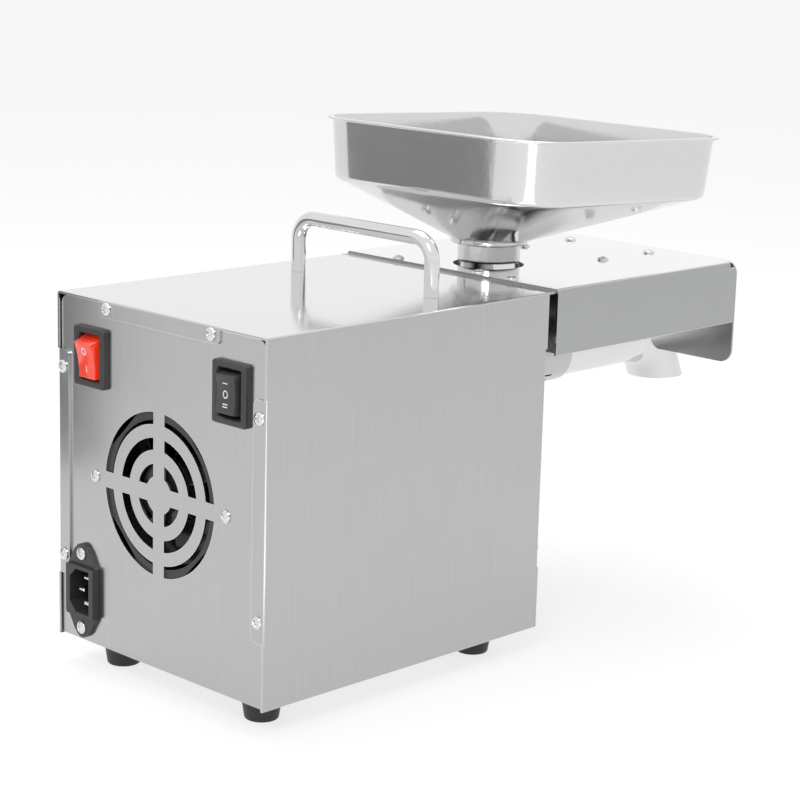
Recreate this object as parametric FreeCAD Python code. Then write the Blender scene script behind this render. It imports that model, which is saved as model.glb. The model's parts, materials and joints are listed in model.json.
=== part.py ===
import FreeCAD, Part
import math
import os
from FreeCAD import Vector, Placement, Rotation

# Table-top screw oil press: a sheet-metal housing with motor and gearbox, and a
# horizontal pressing barrel that stands out of its front under a sheet cover.
# Working frame, in millimetres: X = 0 at the back of the housing and +X towards the
# nose, Y = 0 on the barrel's axis plane, Z = 0 on the table. Every piece is moved at
# the end so that the origin is under the middle of the whole machine's footprint.

# ---- housing -------------------------------------------------------------------------
HOUSING_LENGTH = 200.0
HOUSING_WIDTH = 160.0
HOUSING_HEIGHT = 184.0
SHEET = 1.2                 # thickness of every folded sheet
BEND = 0.6                  # inside radius of every fold
SHEET_GAP = 0.1             # between a tab and the wall it is screwed to
FOOT_HEIGHT = 15.0
FOOT_TOP_RADIUS = 11.0
FOOT_BASE_RADIUS = 8.6
FOOT_INSET_X = 23.0
FOOT_INSET_Y = 25.5

TAB_REACH = 9.0             # how far a side tab reaches over the back
SIDE_TAB_LOW = 34.0         # heights above the housing's underside
SIDE_TAB_HIGH = 154.0
TOP_TAB_HALF = 46.0
TOP_TAB_DROP = 8.6
TAB_CORNER = 3.0
SIDE_SCREWS_BACK = (44.5, 145.0)
SIDE_SCREWS_FRONT = (44.5, 158.0)
TOP_SCREW_SPREAD = 40.0     # each side of the middle
SCREW_HEAD_RADIUS = 3.4
SCREW_HEAD_HEIGHT = 1.9
SCREW_SHANK_RADIUS = 1.5
SCREW_LENGTH = 7.0
SCREW_CLEARANCE = 0.15      # radial, round every screw

# ---- handle --------------------------------------------------------------------------
HANDLE_X = 140.7
HANDLE_SPREAD = 50.3        # each post from the middle
HANDLE_RISE = 30.0          # bar's centre above the top sheet
HANDLE_ROD_RADIUS = 4.0
HANDLE_BEND = 12.0
HANDLE_STUD_RADIUS = 2.9
HANDLE_STUD_LENGTH = 9.0

# ---- back panel ----------------------------------------------------------------------
GRILLE_HEIGHT = 91.6        # its centre above the housing's underside
GRILLE_RINGS = ((42.3, 36.0), (29.2, 23.0), (16.1, 9.8))
GRILLE_BAR = 8.4            # width of the cross left standing
FAN_SIDE = 80.0
FAN_DEPTH = 24.0
FAN_HOLE_SPACING = 71.5
FAN_BORE_RADIUS = 38.0
FAN_BLADES = 7
FAN_HUB_RADIUS = 17.0
FAN_BLADE_RADIUS = 36.5
SWITCH_HEIGHT = 153.5
POWER_SWITCH_Y = 52.6
DIRECTION_SWITCH_Y = -54.9
BEZEL_WIDTH = 24.4
BEZEL_HEIGHT = 31.0
BEZEL_PROUD = 3.0
SWITCH_BODY_WIDTH = 20.6
SWITCH_BODY_HEIGHT = 27.2
SWITCH_BODY_DEPTH = 20.0
ROCKER_WIDTH = 15.6
ROCKER_HEIGHT = 22.6
ROCKER_GAP = 0.5            # all round, between a rocker and its bezel
INLET_Y = 59.6
INLET_HEIGHT = 28.1
INLET_WIDTH = 22.3
INLET_BODY_HEIGHT = 27.4
INLET_PROUD = 4.0
INLET_FLANGE_LENGTH = 51.0
INLET_SCREW_SPACING = 40.0
INLET_SOCKET_WIDTH = 15.8
INLET_SOCKET_HEIGHT = 23.6
INLET_SOCKET_DEPTH = 15.0
INLET_BODY_DEPTH = 18.0

# ---- drive ---------------------------------------------------------------------------
AXIS_HEIGHT = 129.2         # barrel's axis above the housing's underside
PINION_TEETH = 14
WHEEL_TEETH = 36
FAST_MODULE = 1.25
SLOW_MODULE = 1.5
FAST_FACE = 8.0             # width of the teeth
SLOW_FACE = 12.0
BACKLASH = 0.30             # on each tooth, at the pitch circle
PRESSURE_ANGLE = 20.0
GEARBOX_WALL = 4.0
GEARBOX_DEPTH = 48.0
GEARBOX_TOP_RADIUS = 35.0
GEARBOX_LOW_RADIUS = 29.0
GEARBOX_FACE_WALL = 7.0
GEARBOX_COVER = 5.0
OUTPUT_SHAFT_RADIUS = 9.0
LAYSHAFT_RADIUS = 4.0
MOTOR_SHAFT_RADIUS = 4.0
RUNNING_GAP = 0.05          # radial, of every shaft in its bearing
MOTOR_RADIUS = 38.0
MOTOR_LENGTH = 100.0
HEX_SOCKET = 6.5            # corner radius of the screw's hexagonal shank
HEX_GAP = 0.15

# ---- barrel and press screw ------------------------------------------------------------
BARREL_RADIUS = 18.0
BARREL_BORE = 13.4
BARREL_END_X = 296.0
BARREL_FLANGE_RADIUS = 30.0
BARREL_FLANGE = 6.5
BARREL_BOLT_RADIUS = 24.0
FEED_X = 239.7              # centre of the feed throat
FEED_PORT_RADIUS = 12.0
TUBE_RADIUS = 16.5
TUBE_WALL = 2.0
TUBE_SEAT = 8.0             # how far the outlet tube enters the barrel
TUBE_END_X = 363.0
SCREW_RADIUS = 12.9
SCREW_CORE_START = 6.8
SCREW_CORE_END = 9.6
SCREW_PITCH = 20.0
FLIGHT_WIDTH = 3.2
OIL_SLOTS = 7
OIL_SLOT_WIDTH = 1.4
OIL_SLOT_LENGTH = 22.0
OIL_SLOT_X = 260.0
SPOUT_TURN = 65.7           # degrees that the outlet bends down
SPOUT_BEND = 28.0           # radius of that bend, on the centre line
SPOUT_CORNER_X = 384.0      # where the two straight centre lines cross
SPOUT_LIP_HEIGHT = 101.7    # above the housing's underside
CHOKE_LENGTH = 9.0
CHOKE_BORE = 8.6

# ---- cover over the barrel -------------------------------------------------------------
COVER_GAP = 7.1             # between the housing's front and the cover
COVER_LENGTH = 158.4
COVER_SIDE = 35.9           # height of the side walls
COVER_END = 60.3            # height of the end plate
COVER_NOTCH = 20.6
COVER_CORNER = 8.0
COVER_NOTCH_CORNER = 7.0
SUPPORT_WIDTH = 15.3        # of the channel that carries the cover
SUPPORT_LEG = 20.0
SUPPORT_DROP = 35.0
REAR_COVER_SCREWS = (18.5, 43.0)
STAY_X = (304.0, 346.0)
STAY_SCREW_SPREAD = 30.0
STAY_HALF = 40.0
STAY_FLANGE = 12.0
COVER_HOLE_RADIUS = 20.0

# ---- hopper ----------------------------------------------------------------------------
THROAT_WALL = 2.6
THROAT_TOP = 176.0          # above the housing's underside
NECK_RADIUS = 17.5
NECK_GAP = 0.4              # radial, in the throat
NECK_BOTTOM = 151.0
NECK_TOP = 199.5
HOPPER_SHEET = 1.0
TRAY_X = 262.4              # the tray's centre is ahead of the neck
TRAY_HALF = 84.4
TRAY_CORNER = 29.0
TRAY_TAPER = 2.2            # each wall leans in by this much from rim to crease
TRAY_RIM_HEIGHT = 263.2
TRAY_CREASE_HEIGHT = 228.8
TRAY_LIP = 3.0
TRAY_LEAN = 2.3             # degrees that the tray slopes towards the nose
FUNNEL_FOOT_RADIUS = 22.0

# ---- values that follow from those above ---------------------------------------------
BASE = FOOT_HEIGHT
TOP = BASE + HOUSING_HEIGHT
HALF_WIDTH = HOUSING_WIDTH / 2
PANEL_X = SHEET + SHEET_GAP                     # outer face of the back panel
FRONT_X = HOUSING_LENGTH - SHEET - SHEET_GAP    # outer face of the front wall
AXIS_Z = BASE + AXIS_HEIGHT
FAST_DISTANCE = FAST_MODULE * (PINION_TEETH + WHEEL_TEETH) / 2
SLOW_DISTANCE = SLOW_MODULE * (PINION_TEETH + WHEEL_TEETH) / 2
LAYSHAFT_Z = AXIS_Z - SLOW_DISTANCE
MOTOR_Z = LAYSHAFT_Z - FAST_DISTANCE
GEARBOX_FRONT_X = FRONT_X - SHEET
GEARBOX_BACK_X = GEARBOX_FRONT_X - GEARBOX_DEPTH
GEARBOX_COVER_X = GEARBOX_BACK_X - GEARBOX_COVER
SLOW_X = GEARBOX_FRONT_X - GEARBOX_FACE_WALL - 2.0 - SLOW_FACE
FAST_X = GEARBOX_BACK_X + 8.0
COVER_X = HOUSING_LENGTH + COVER_GAP
COVER_NOSE_X = COVER_X + COVER_LENGTH
THROAT_BORE = NECK_RADIUS + NECK_GAP
FAN_X = PANEL_X + SHEET
GRILLE_Z = BASE + GRILLE_HEIGHT
SWITCH_Z = BASE + SWITCH_HEIGHT
INLET_Z = BASE + INLET_HEIGHT

parts = {}


# ---- helpers ---------------------------------------------------------------------------
def block(x0, x1, y0, y1, z0, z1):
    return Part.makeBox(x1 - x0, y1 - y0, z1 - z0, Vector(x0, y0, z0))


def rod(start, direction, length, radius):
    return Part.makeCylinder(radius, length, Vector(*start), Vector(*direction))


def rod_x(x0, x1, radius, y=0.0, z=0.0):
    return rod((x0, y, z), (1, 0, 0), x1 - x0, radius)


def rod_z(z0, z1, radius, x=0.0, y=0.0):
    return rod((x, y, z0), (0, 0, 1), z1 - z0, radius)


def ring_x(x0, x1, outer, inner, y=0.0, z=0.0):
    return rod_x(x0, x1, outer, y, z).cut(rod_x(x0 - 1, x1 + 1, inner, y, z))


def fuse(shapes):
    """One solid from pieces that touch or overlap."""
    return shapes[0].fuse(shapes[1:]).removeSplitter()


def polygon(points):
    """Closed planar wire through the points."""
    return Part.makePolygon([Vector(*p) for p in points] + [Vector(*points[0])])


def prism(wire, direction):
    return Part.Face(wire).extrude(Vector(*direction))


def rounded_plate(origin, u, v, half_u, half_v, corner):
    """Closed wire of a rectangle with round corners, in the plane of u and v."""
    o, u, v = Vector(*origin), Vector(*u), Vector(*v)

    def at(a, b):
        return o + u * a + v * b

    k = corner * (1 - math.sqrt(0.5))
    edges = []
    for sa, sb in ((1, 1), (-1, 1), (-1, -1), (1, -1)):
        flat = at(sa * half_u, sb * (half_v - corner))
        top = at(sa * (half_u - corner), sb * half_v)
        middle = at(sa * (half_u - k), sb * (half_v - k))
        ends = (flat, top) if sa * sb > 0 else (top, flat)
        edges.append((ends[0], middle, ends[1]))
    wire = []
    for i, (start, middle, end) in enumerate(edges):
        wire.append(Part.Arc(start, middle, end).toShape())
        following = edges[(i + 1) % 4][0]
        if end.distanceToPoint(following) > 1e-6:
            wire.append(Part.LineSegment(end, following).toShape())
    return Part.Wire(wire)


def fold(origin, along_first, along_second, first, second, width_axis, width):
    """Sheet angle: two legs that meet in a rounded fold at the outer corner `origin`."""
    o, a, b = Vector(*origin), Vector(*along_first), Vector(*along_second)
    outer = SHEET + BEND
    k_out, k_in = outer * (1 - math.sqrt(0.5)), SHEET + BEND * (1 - math.sqrt(0.5))
    p = [o + a * first, o + a * outer, o + b * outer, o + b * second,
         o + b * second + a * SHEET, o + b * outer + a * SHEET, o + a * outer + b * SHEET,
         o + a * first + b * SHEET]
    wire = Part.Wire([
        Part.LineSegment(p[0], p[1]).toShape(),
        Part.Arc(p[1], o + (a + b) * k_out, p[2]).toShape(),
        Part.LineSegment(p[2], p[3]).toShape(),
        Part.LineSegment(p[3], p[4]).toShape(),
        Part.LineSegment(p[4], p[5]).toShape(),
        Part.Arc(p[5], o + (a + b) * k_in, p[6]).toShape(),
        Part.LineSegment(p[6], p[7]).toShape(),
        Part.LineSegment(p[7], p[0]).toShape()])
    return Part.Face(wire).extrude(Vector(*width_axis) * width)


def pan_screw(head, direction, length=SCREW_LENGTH):
    """Pan-head screw: `head` is the centre of the head's seat, `direction` its outside."""
    radius, rim, crown = SCREW_HEAD_RADIUS, SCREW_HEAD_HEIGHT * 0.4, SCREW_HEAD_HEIGHT
    rise = crown - rim
    dome = (radius ** 2 + rise ** 2) / (2 * rise)
    cap = Part.makeSphere(dome, Vector(0, 0, crown - dome))
    top = cap.common(rod_z(0, crown + 1, radius))
    screw = fuse([top, rod_z(-length, 0.2, SCREW_SHANK_RADIUS)])
    screw.Placement = Placement(Vector(*head), Rotation(Vector(0, 0, 1), Vector(*direction)))
    return screw


def screw_hole(head, direction, depth=10.0):
    start = Vector(*head) + Vector(*direction)
    return Part.makeCylinder(SCREW_SHANK_RADIUS + SCREW_CLEARANCE, depth, start,
                             Vector(*direction) * -1)


def hexagon_x(x0, x1, corner_radius, y=0.0, z=0.0, turn=0.0):
    points = []
    for i in range(6):
        angle = math.radians(60 * i + turn)
        points.append((x0, y + corner_radius * math.cos(angle),
                       z + corner_radius * math.sin(angle)))
    return prism(polygon(points), (x1 - x0, 0, 0))


# ---- places that several pieces share ---------------------------------------------------
def back_screw_seats():
    """Heads of the six screws in the tabs of the back."""
    seats = []
    for side in (1, -1):
        for height in SIDE_SCREWS_BACK:
            seats.append((0.0, side * (HALF_WIDTH - TAB_REACH / 2), BASE + height))
        seats.append((0.0, side * TOP_SCREW_SPREAD, TOP - TOP_TAB_DROP / 2 + 0.1))
    return seats


def front_screw_seats():
    seats = []
    for side in (1, -1):
        for height in SIDE_SCREWS_FRONT:
            seats.append((HOUSING_LENGTH, side * (HALF_WIDTH - TAB_REACH / 2), BASE + height))
    return seats


def fan_screw_seats():
    half = FAN_HOLE_SPACING * math.sqrt(0.5)
    return [(PANEL_X, side * half, GRILLE_Z) for side in (1, -1)]


def inlet_screw_seats():
    half = INLET_SCREW_SPACING / 2
    return [(PANEL_X - 2.2, INLET_Y, INLET_Z + side * half) for side in (1, -1)]


def foot_places():
    places = []
    for x in (FOOT_INSET_X, HOUSING_LENGTH - FOOT_INSET_X):
        for side in (1, -1):
            places.append((x, side * (HALF_WIDTH - FOOT_INSET_Y)))
    return places


def barrel_bolt_places():
    places = []
    for i in range(4):
        angle = math.radians(45 + 90 * i)
        places.append((BARREL_BOLT_RADIUS * math.cos(angle),
                       AXIS_Z + BARREL_BOLT_RADIUS * math.sin(angle)))
    return places


def support_screw_seats():
    z = TOP - SUPPORT_LEG + 6.0
    return [(FRONT_X + SHEET, side * y, z) for side in (1, -1) for y in (22.0, 60.0)]


def rear_cover_seats():
    x = COVER_X + 4.2
    return [(x, side * y, TOP + SHEET) for side in (1, -1) for y in REAR_COVER_SCREWS]


def stay_seats():
    return [(x, side * STAY_SCREW_SPREAD, TOP + SHEET) for side in (1, -1) for x in STAY_X]


# ---- housing ----------------------------------------------------------------------------
def grille_slots():
    """Three rings of slots, parted by an upright and a level bar."""
    slots = []
    for outer, inner in GRILLE_RINGS:
        slots.append(ring_x(PANEL_X - 1, PANEL_X + SHEET + 1, outer, inner, 0, GRILLE_Z))
    half = GRILLE_BAR / 2
    reach = GRILLE_RINGS[0][0] + 1
    x0, x1 = PANEL_X - 2, PANEL_X + SHEET + 2
    cross = [block(x0, x1, -half, half, GRILLE_Z - reach, GRILLE_Z + reach),
             block(x0, x1, -reach, reach, GRILLE_Z - half, GRILLE_Z + half)]
    return Part.makeCompound(slots).cut(Part.makeCompound(cross))


def make_chassis():
    """Back panel, bottom and front wall, folded from one strip."""
    inner = HALF_WIDTH - SHEET - BEND - SHEET_GAP
    upright = HOUSING_HEIGHT - SHEET - 0.4
    width = 2 * inner
    middle = (PANEL_X + FRONT_X) / 2
    back = fold((PANEL_X, -inner, BASE), (1, 0, 0), (0, 0, 1), middle - PANEL_X, upright,
                (0, 1, 0), width)
    front = fold((FRONT_X, -inner, BASE), (-1, 0, 0), (0, 0, 1), FRONT_X - middle, upright,
                 (0, 1, 0), width)
    strip = fuse([back, front])
    outline = rounded_plate((PANEL_X - 5, 0, BASE + upright / 2 - 10), (0, 1, 0), (0, 0, 1),
                            inner, upright / 2 + 10, 5.0)
    strip = strip.common(prism(outline, (FRONT_X - PANEL_X + 10, 0, 0)))
    cutters = [grille_slots()]
    x0, x1 = PANEL_X - 1, PANEL_X + SHEET + 1
    for y in (POWER_SWITCH_Y, DIRECTION_SWITCH_Y):
        cutters.append(block(x0, x1, y - SWITCH_BODY_WIDTH / 2 - 0.2,
                             y + SWITCH_BODY_WIDTH / 2 + 0.2,
                             SWITCH_Z - SWITCH_BODY_HEIGHT / 2 - 0.2,
                             SWITCH_Z + SWITCH_BODY_HEIGHT / 2 + 0.2))
    cutters.append(block(x0, x1, INLET_Y - INLET_WIDTH / 2 - 0.2, INLET_Y + INLET_WIDTH / 2 + 0.2,
                         INLET_Z - INLET_BODY_HEIGHT / 2 - 0.2,
                         INLET_Z + INLET_BODY_HEIGHT / 2 + 0.2))
    for seat in back_screw_seats() + fan_screw_seats() + inlet_screw_seats():
        cutters.append(screw_hole(seat, (-1, 0, 0)))
    for seat in front_screw_seats() + support_screw_seats():
        cutters.append(screw_hole(seat, (1, 0, 0)))
    for x, y in foot_places():
        cutters.append(rod_z(BASE - 1, BASE + SHEET + 1, 2.2, x, y))
    for y, z in barrel_bolt_places():
        cutters.append(rod_x(FRONT_X - SHEET - 1, FRONT_X + 1, 2.7, y, z))
    cutters.append(rod_x(FRONT_X - SHEET - 1, FRONT_X + 1, OUTPUT_SHAFT_RADIUS + 1.0, 0, AXIS_Z))
    return strip.cut(Part.makeCompound(cutters))


def tab_outline(x0, x1, y, z, half_y, half_z):
    wire = rounded_plate((x0, y, z), (0, 1, 0), (0, 0, 1), half_y, half_z, TAB_CORNER)
    return prism(wire, (x1 - x0, 0, 0))


def make_shell():
    """Top and both sides in one folded sheet, with tabs over the back and front walls."""
    length = HOUSING_LENGTH
    sides = []
    for side in (1, -1):
        sides.append(fold((0, side * HALF_WIDTH, TOP), (0, -side, 0), (0, 0, -1), HALF_WIDTH,
                          HOUSING_HEIGHT, (1, 0, 0), length))
    sheet = fuse(sides)
    # the top sheet stops at the front wall, where the cover's support begins
    sheet = sheet.cut(block(FRONT_X - 0.1, length + 1, -HALF_WIDTH + TAB_REACH + 0.6,
                            HALF_WIDTH - TAB_REACH - 0.6, TOP - SHEET - 1, TOP + 1))
    tabs = []
    low, high = BASE + SIDE_TAB_LOW, BASE + SIDE_TAB_HIGH
    for side in (1, -1):
        for x, inward in ((0.0, 1), (length, -1)):
            angle = fold((x, side * HALF_WIDTH, low), (0, -side, 0), (inward, 0, 0), TAB_REACH,
                         SHEET + BEND + 1, (0, 0, 1), high - low)
            reach = tab_outline(x - 5, x + 5, side * HALF_WIDTH, (low + high) / 2, TAB_REACH,
                                (high - low) / 2)
            tabs.append(angle.common(reach))
            clear = block(min(x, x + inward * (SHEET + BEND)), max(x, x + inward * (SHEET + BEND)),
                          min(side * HALF_WIDTH, side * (HALF_WIDTH - SHEET)) - 0.01,
                          max(side * HALF_WIDTH, side * (HALF_WIDTH - SHEET)) + 0.01, low, high)
            sheet = sheet.cut(clear)
    top_tab = fold((0, -TOP_TAB_HALF, TOP), (0, 0, -1), (1, 0, 0), TOP_TAB_DROP,
                   SHEET + BEND + 1, (0, 1, 0), 2 * TOP_TAB_HALF)
    reach = tab_outline(-5, 5, 0, TOP, TOP_TAB_HALF, TOP_TAB_DROP)
    sheet = sheet.cut(block(-1, SHEET + BEND, -TOP_TAB_HALF, TOP_TAB_HALF, TOP - SHEET - 0.01,
                            TOP + 1))
    tabs.append(top_tab.common(reach))
    shell = fuse([sheet] + tabs)
    cutters = []
    for seat in back_screw_seats():
        cutters.append(screw_hole(seat, (-1, 0, 0)))
    for seat in front_screw_seats():
        cutters.append(screw_hole(seat, (1, 0, 0)))
    for side in (1, -1):
        cutters.append(rod_z(TOP - SHEET - 1, TOP + 1, HANDLE_STUD_RADIUS + SCREW_CLEARANCE,
                             HANDLE_X, side * HANDLE_SPREAD))
    return shell.cut(Part.makeCompound(cutters))


def make_feet():
    """Tapered rubber feet, each hollowed for its screw."""
    feet = []
    for x, y in foot_places():
        foot = Part.makeCone(FOOT_BASE_RADIUS, FOOT_TOP_RADIUS, FOOT_HEIGHT, Vector(x, y, 0))
        rim = [e for e in foot.Edges if abs(e.CenterOfMass.z) < 0.01]
        foot = foot.makeFillet(1.2, rim)
        foot = foot.cut(rod_z(-1, 7.0, 4.4, x, y))
        foot = foot.cut(rod_z(6.0, FOOT_HEIGHT + 1, 2.0, x, y))
        feet.append(foot)
    return Part.makeCompound(feet)


def make_foot_screws():
    """Screws up through the feet, with their nuts on the bottom sheet."""
    screws = []
    for x, y in foot_places():
        shank = rod_z(7.0, BASE + SHEET + 6.0, 1.9, x, y)
        head = rod_z(4.4, 7.0, 3.6, x, y)
        nut = prism(polygon([(x + 4.0 * math.cos(math.radians(60 * i)),
                              y + 4.0 * math.sin(math.radians(60 * i)), BASE + SHEET)
                             for i in range(6)]), (0, 0, 3.2))
        screws.append(fuse([shank, head, nut]))
    return Part.makeCompound(screws)


def make_handle():
    """Bent rod with a thinner stud below each post."""
    top, bend, r = TOP + HANDLE_RISE, HANDLE_BEND, HANDLE_ROD_RADIUS
    y = HANDLE_SPREAD
    k = bend * (1 - math.sqrt(0.5))
    path = Part.Wire([
        Part.LineSegment(Vector(HANDLE_X, -y, TOP), Vector(HANDLE_X, -y, top - bend)).toShape(),
        Part.Arc(Vector(HANDLE_X, -y, top - bend), Vector(HANDLE_X, -y + k, top - k),
                 Vector(HANDLE_X, -y + bend, top)).toShape(),
        Part.LineSegment(Vector(HANDLE_X, -y + bend, top),
                         Vector(HANDLE_X, y - bend, top)).toShape(),
        Part.Arc(Vector(HANDLE_X, y - bend, top), Vector(HANDLE_X, y - k, top - k),
                 Vector(HANDLE_X, y, top - bend)).toShape(),
        Part.LineSegment(Vector(HANDLE_X, y, top - bend), Vector(HANDLE_X, y, TOP)).toShape()])
    section = Part.Wire([Part.makeCircle(r, Vector(HANDLE_X, -y, TOP), Vector(0, 0, 1))])
    bar = path.makePipeShell([section], True, False)
    studs = [rod_z(TOP - HANDLE_STUD_LENGTH, TOP + 2, HANDLE_STUD_RADIUS, HANDLE_X, side * y)
             for side in (1, -1)]
    return fuse([bar] + studs)


def make_handle_nuts():
    nuts = []
    top = TOP - SHEET
    for side in (1, -1):
        y = side * HANDLE_SPREAD
        washer = rod_z(top - 1.0, top, 6.5, HANDLE_X, y)
        points = [(HANDLE_X + 5.8 * math.cos(math.radians(60 * i)),
                   y + 5.8 * math.sin(math.radians(60 * i)), top - 6.0) for i in range(6)]
        nut = fuse([washer, prism(polygon(points), (0, 0, 5.0))])
        nuts.append(nut.cut(rod_z(top - 8, top + 1, HANDLE_STUD_RADIUS, HANDLE_X, y)))
    return Part.makeCompound(nuts)


# ---- controls, inlet and fan on the back ---------------------------------------------------
def make_bezel(y):
    """Snap-in switch body with a flange outside and an open window for its rocker."""
    outline = rounded_plate((PANEL_X, y, SWITCH_Z), (0, 1, 0), (0, 0, 1), BEZEL_WIDTH / 2,
                            BEZEL_HEIGHT / 2, 2.0)
    flange = prism(outline, (-BEZEL_PROUD, 0, 0))
    rim = [e for e in flange.Edges if abs(e.CenterOfMass.x - (PANEL_X - BEZEL_PROUD)) < 0.01]
    flange = flange.makeFillet(0.8, rim)
    body = block(PANEL_X - 0.5, PANEL_X + SWITCH_BODY_DEPTH, y - SWITCH_BODY_WIDTH / 2,
                 y + SWITCH_BODY_WIDTH / 2, SWITCH_Z - SWITCH_BODY_HEIGHT / 2,
                 SWITCH_Z + SWITCH_BODY_HEIGHT / 2)
    terminals = [block(PANEL_X + SWITCH_BODY_DEPTH - 0.5, PANEL_X + SWITCH_BODY_DEPTH + 7.5,
                       y - 2.4 + dy, y + 2.4 + dy, SWITCH_Z - 0.4 + dz, SWITCH_Z + 0.4 + dz)
                 for dy in (-5.5, 5.5) for dz in (-8.0, 0.0, 8.0)]
    half_w = ROCKER_WIDTH / 2 + ROCKER_GAP
    half_h = ROCKER_HEIGHT / 2 + ROCKER_GAP
    window = block(PANEL_X - BEZEL_PROUD - 1, PANEL_X + 11.0, y - half_w, y + half_w,
                   SWITCH_Z - half_h, SWITCH_Z + half_h)
    return fuse([flange, body] + terminals).cut(window)


def make_rocker(y, settled):
    """Rocker that pivots on a pin across its switch; `settled` is its tilt at rest."""
    pivot = Vector(PANEL_X + 3.0, y, SWITCH_Z)
    face, half, ridge = -BEZEL_PROUD - 5.6, ROCKER_HEIGHT / 2, 0.6
    half_w = ROCKER_WIDTH / 2
    edge = half - 1.9
    centre_out = Vector(face + ridge, -half_w, 0)
    outline = Part.Wire([
        Part.makePolygon([Vector(face, -half_w, edge), Vector(0.6, -half_w, half - 0.4),
                          Vector(6.0, -half_w, 4.0), Vector(6.0, -half_w, -4.0),
                          Vector(0.6, -half_w, 0.4 - half), Vector(face, -half_w, -edge)]),
        Part.Arc(Vector(face, -half_w, -edge), centre_out,
                 Vector(face, -half_w, edge)).toShape()])
    body = Part.Face(outline).extrude(Vector(0, ROCKER_WIDTH, 0))
    pin = rod((0, -half_w - ROCKER_GAP + 0.1, 0), (0, 1, 0), ROCKER_WIDTH + 2 * ROCKER_GAP - 0.2,
              1.2)
    rocker = fuse([body, pin])
    rocker.Placement = Placement(pivot, Rotation(Vector(0, 1, 0), settled))
    return rocker


def make_inlet():
    """Appliance inlet turned on end, with a screwed flange and a recessed socket."""
    half = INLET_FLANGE_LENGTH / 2
    narrow, wide = 5.6, INLET_WIDTH / 2
    shoulder = INLET_BODY_HEIGHT / 2
    x0 = PANEL_X - 2.2
    hull = [(x0, INLET_Y + sy * wide, INLET_Z + sz * shoulder)
            for sy, sz in ((1, -1), (1, 1))]
    left = [(x0, INLET_Y + narrow, INLET_Z + half - 3), (x0, INLET_Y - narrow, INLET_Z + half - 3)]
    right = [(x0, INLET_Y - wide, INLET_Z + shoulder), (x0, INLET_Y - wide, INLET_Z - shoulder)]
    tail = [(x0, INLET_Y - narrow, INLET_Z - half + 3), (x0, INLET_Y + narrow, INLET_Z - half + 3)]
    flange = prism(polygon(hull + left + right + tail), (2.2, 0, 0))
    for side in (1, -1):
        tip = rod_x(x0, PANEL_X, narrow, INLET_Y, INLET_Z + side * (half - narrow))
        flange = flange.fuse(tip)
    flange = flange.common(block(x0 - 1, PANEL_X + 1, INLET_Y - 20, INLET_Y + 20,
                                 INLET_Z - half, INLET_Z + half))
    wire = rounded_plate((PANEL_X - INLET_PROUD, INLET_Y, INLET_Z), (0, 1, 0), (0, 0, 1),
                         INLET_WIDTH / 2, INLET_BODY_HEIGHT / 2, 1.5)
    body = prism(wire, (INLET_PROUD + INLET_BODY_DEPTH, 0, 0))
    tabs = [block(PANEL_X + INLET_BODY_DEPTH - 1, PANEL_X + INLET_BODY_DEPTH + 7,
                  INLET_Y - 2.4 + dy, INLET_Y + 2.4 + dy, INLET_Z - 0.4 + dz, INLET_Z + 0.4 + dz)
            for dy, dz in ((3.0, 0.0), (-3.0, 7.0), (-3.0, -7.0))]
    half_w, half_h = INLET_SOCKET_WIDTH / 2, INLET_SOCKET_HEIGHT / 2
    bevel = 5.0
    x1 = PANEL_X - INLET_PROUD - 1
    socket = prism(polygon([(x1, INLET_Y - half_w, INLET_Z - half_h),
                            (x1, INLET_Y + half_w - bevel, INLET_Z - half_h),
                            (x1, INLET_Y + half_w, INLET_Z - half_h + bevel),
                            (x1, INLET_Y + half_w, INLET_Z + half_h - bevel),
                            (x1, INLET_Y + half_w - bevel, INLET_Z + half_h),
                            (x1, INLET_Y - half_w, INLET_Z + half_h)]),
                   (INLET_SOCKET_DEPTH + 1, 0, 0))
    inlet = fuse([flange, body] + tabs).cut(socket)
    for seat in inlet_screw_seats():
        inlet = inlet.cut(screw_hole(seat, (-1, 0, 0)))
    return inlet


def inlet_pin_places():
    return ((INLET_Y - 2.0, INLET_Z + 7.0), (INLET_Y - 2.0, INLET_Z - 7.0),
            (INLET_Y + 2.0, INLET_Z))


def make_inlet_pins():
    """Two poles and the earth pin, standing on the socket's floor."""
    floor = PANEL_X - INLET_PROUD + INLET_SOCKET_DEPTH
    pins = []
    for y, z in inlet_pin_places():
        pin = block(floor - 12.0, floor, y - 2.0, y + 2.0, z - 1.0, z + 1.0)
        ends = [e for e in pin.Edges if abs(e.CenterOfMass.x - (floor - 12.0)) < 0.01]
        pins.append(pin.makeChamfer(0.6, ends))
    return Part.makeCompound(pins)


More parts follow.
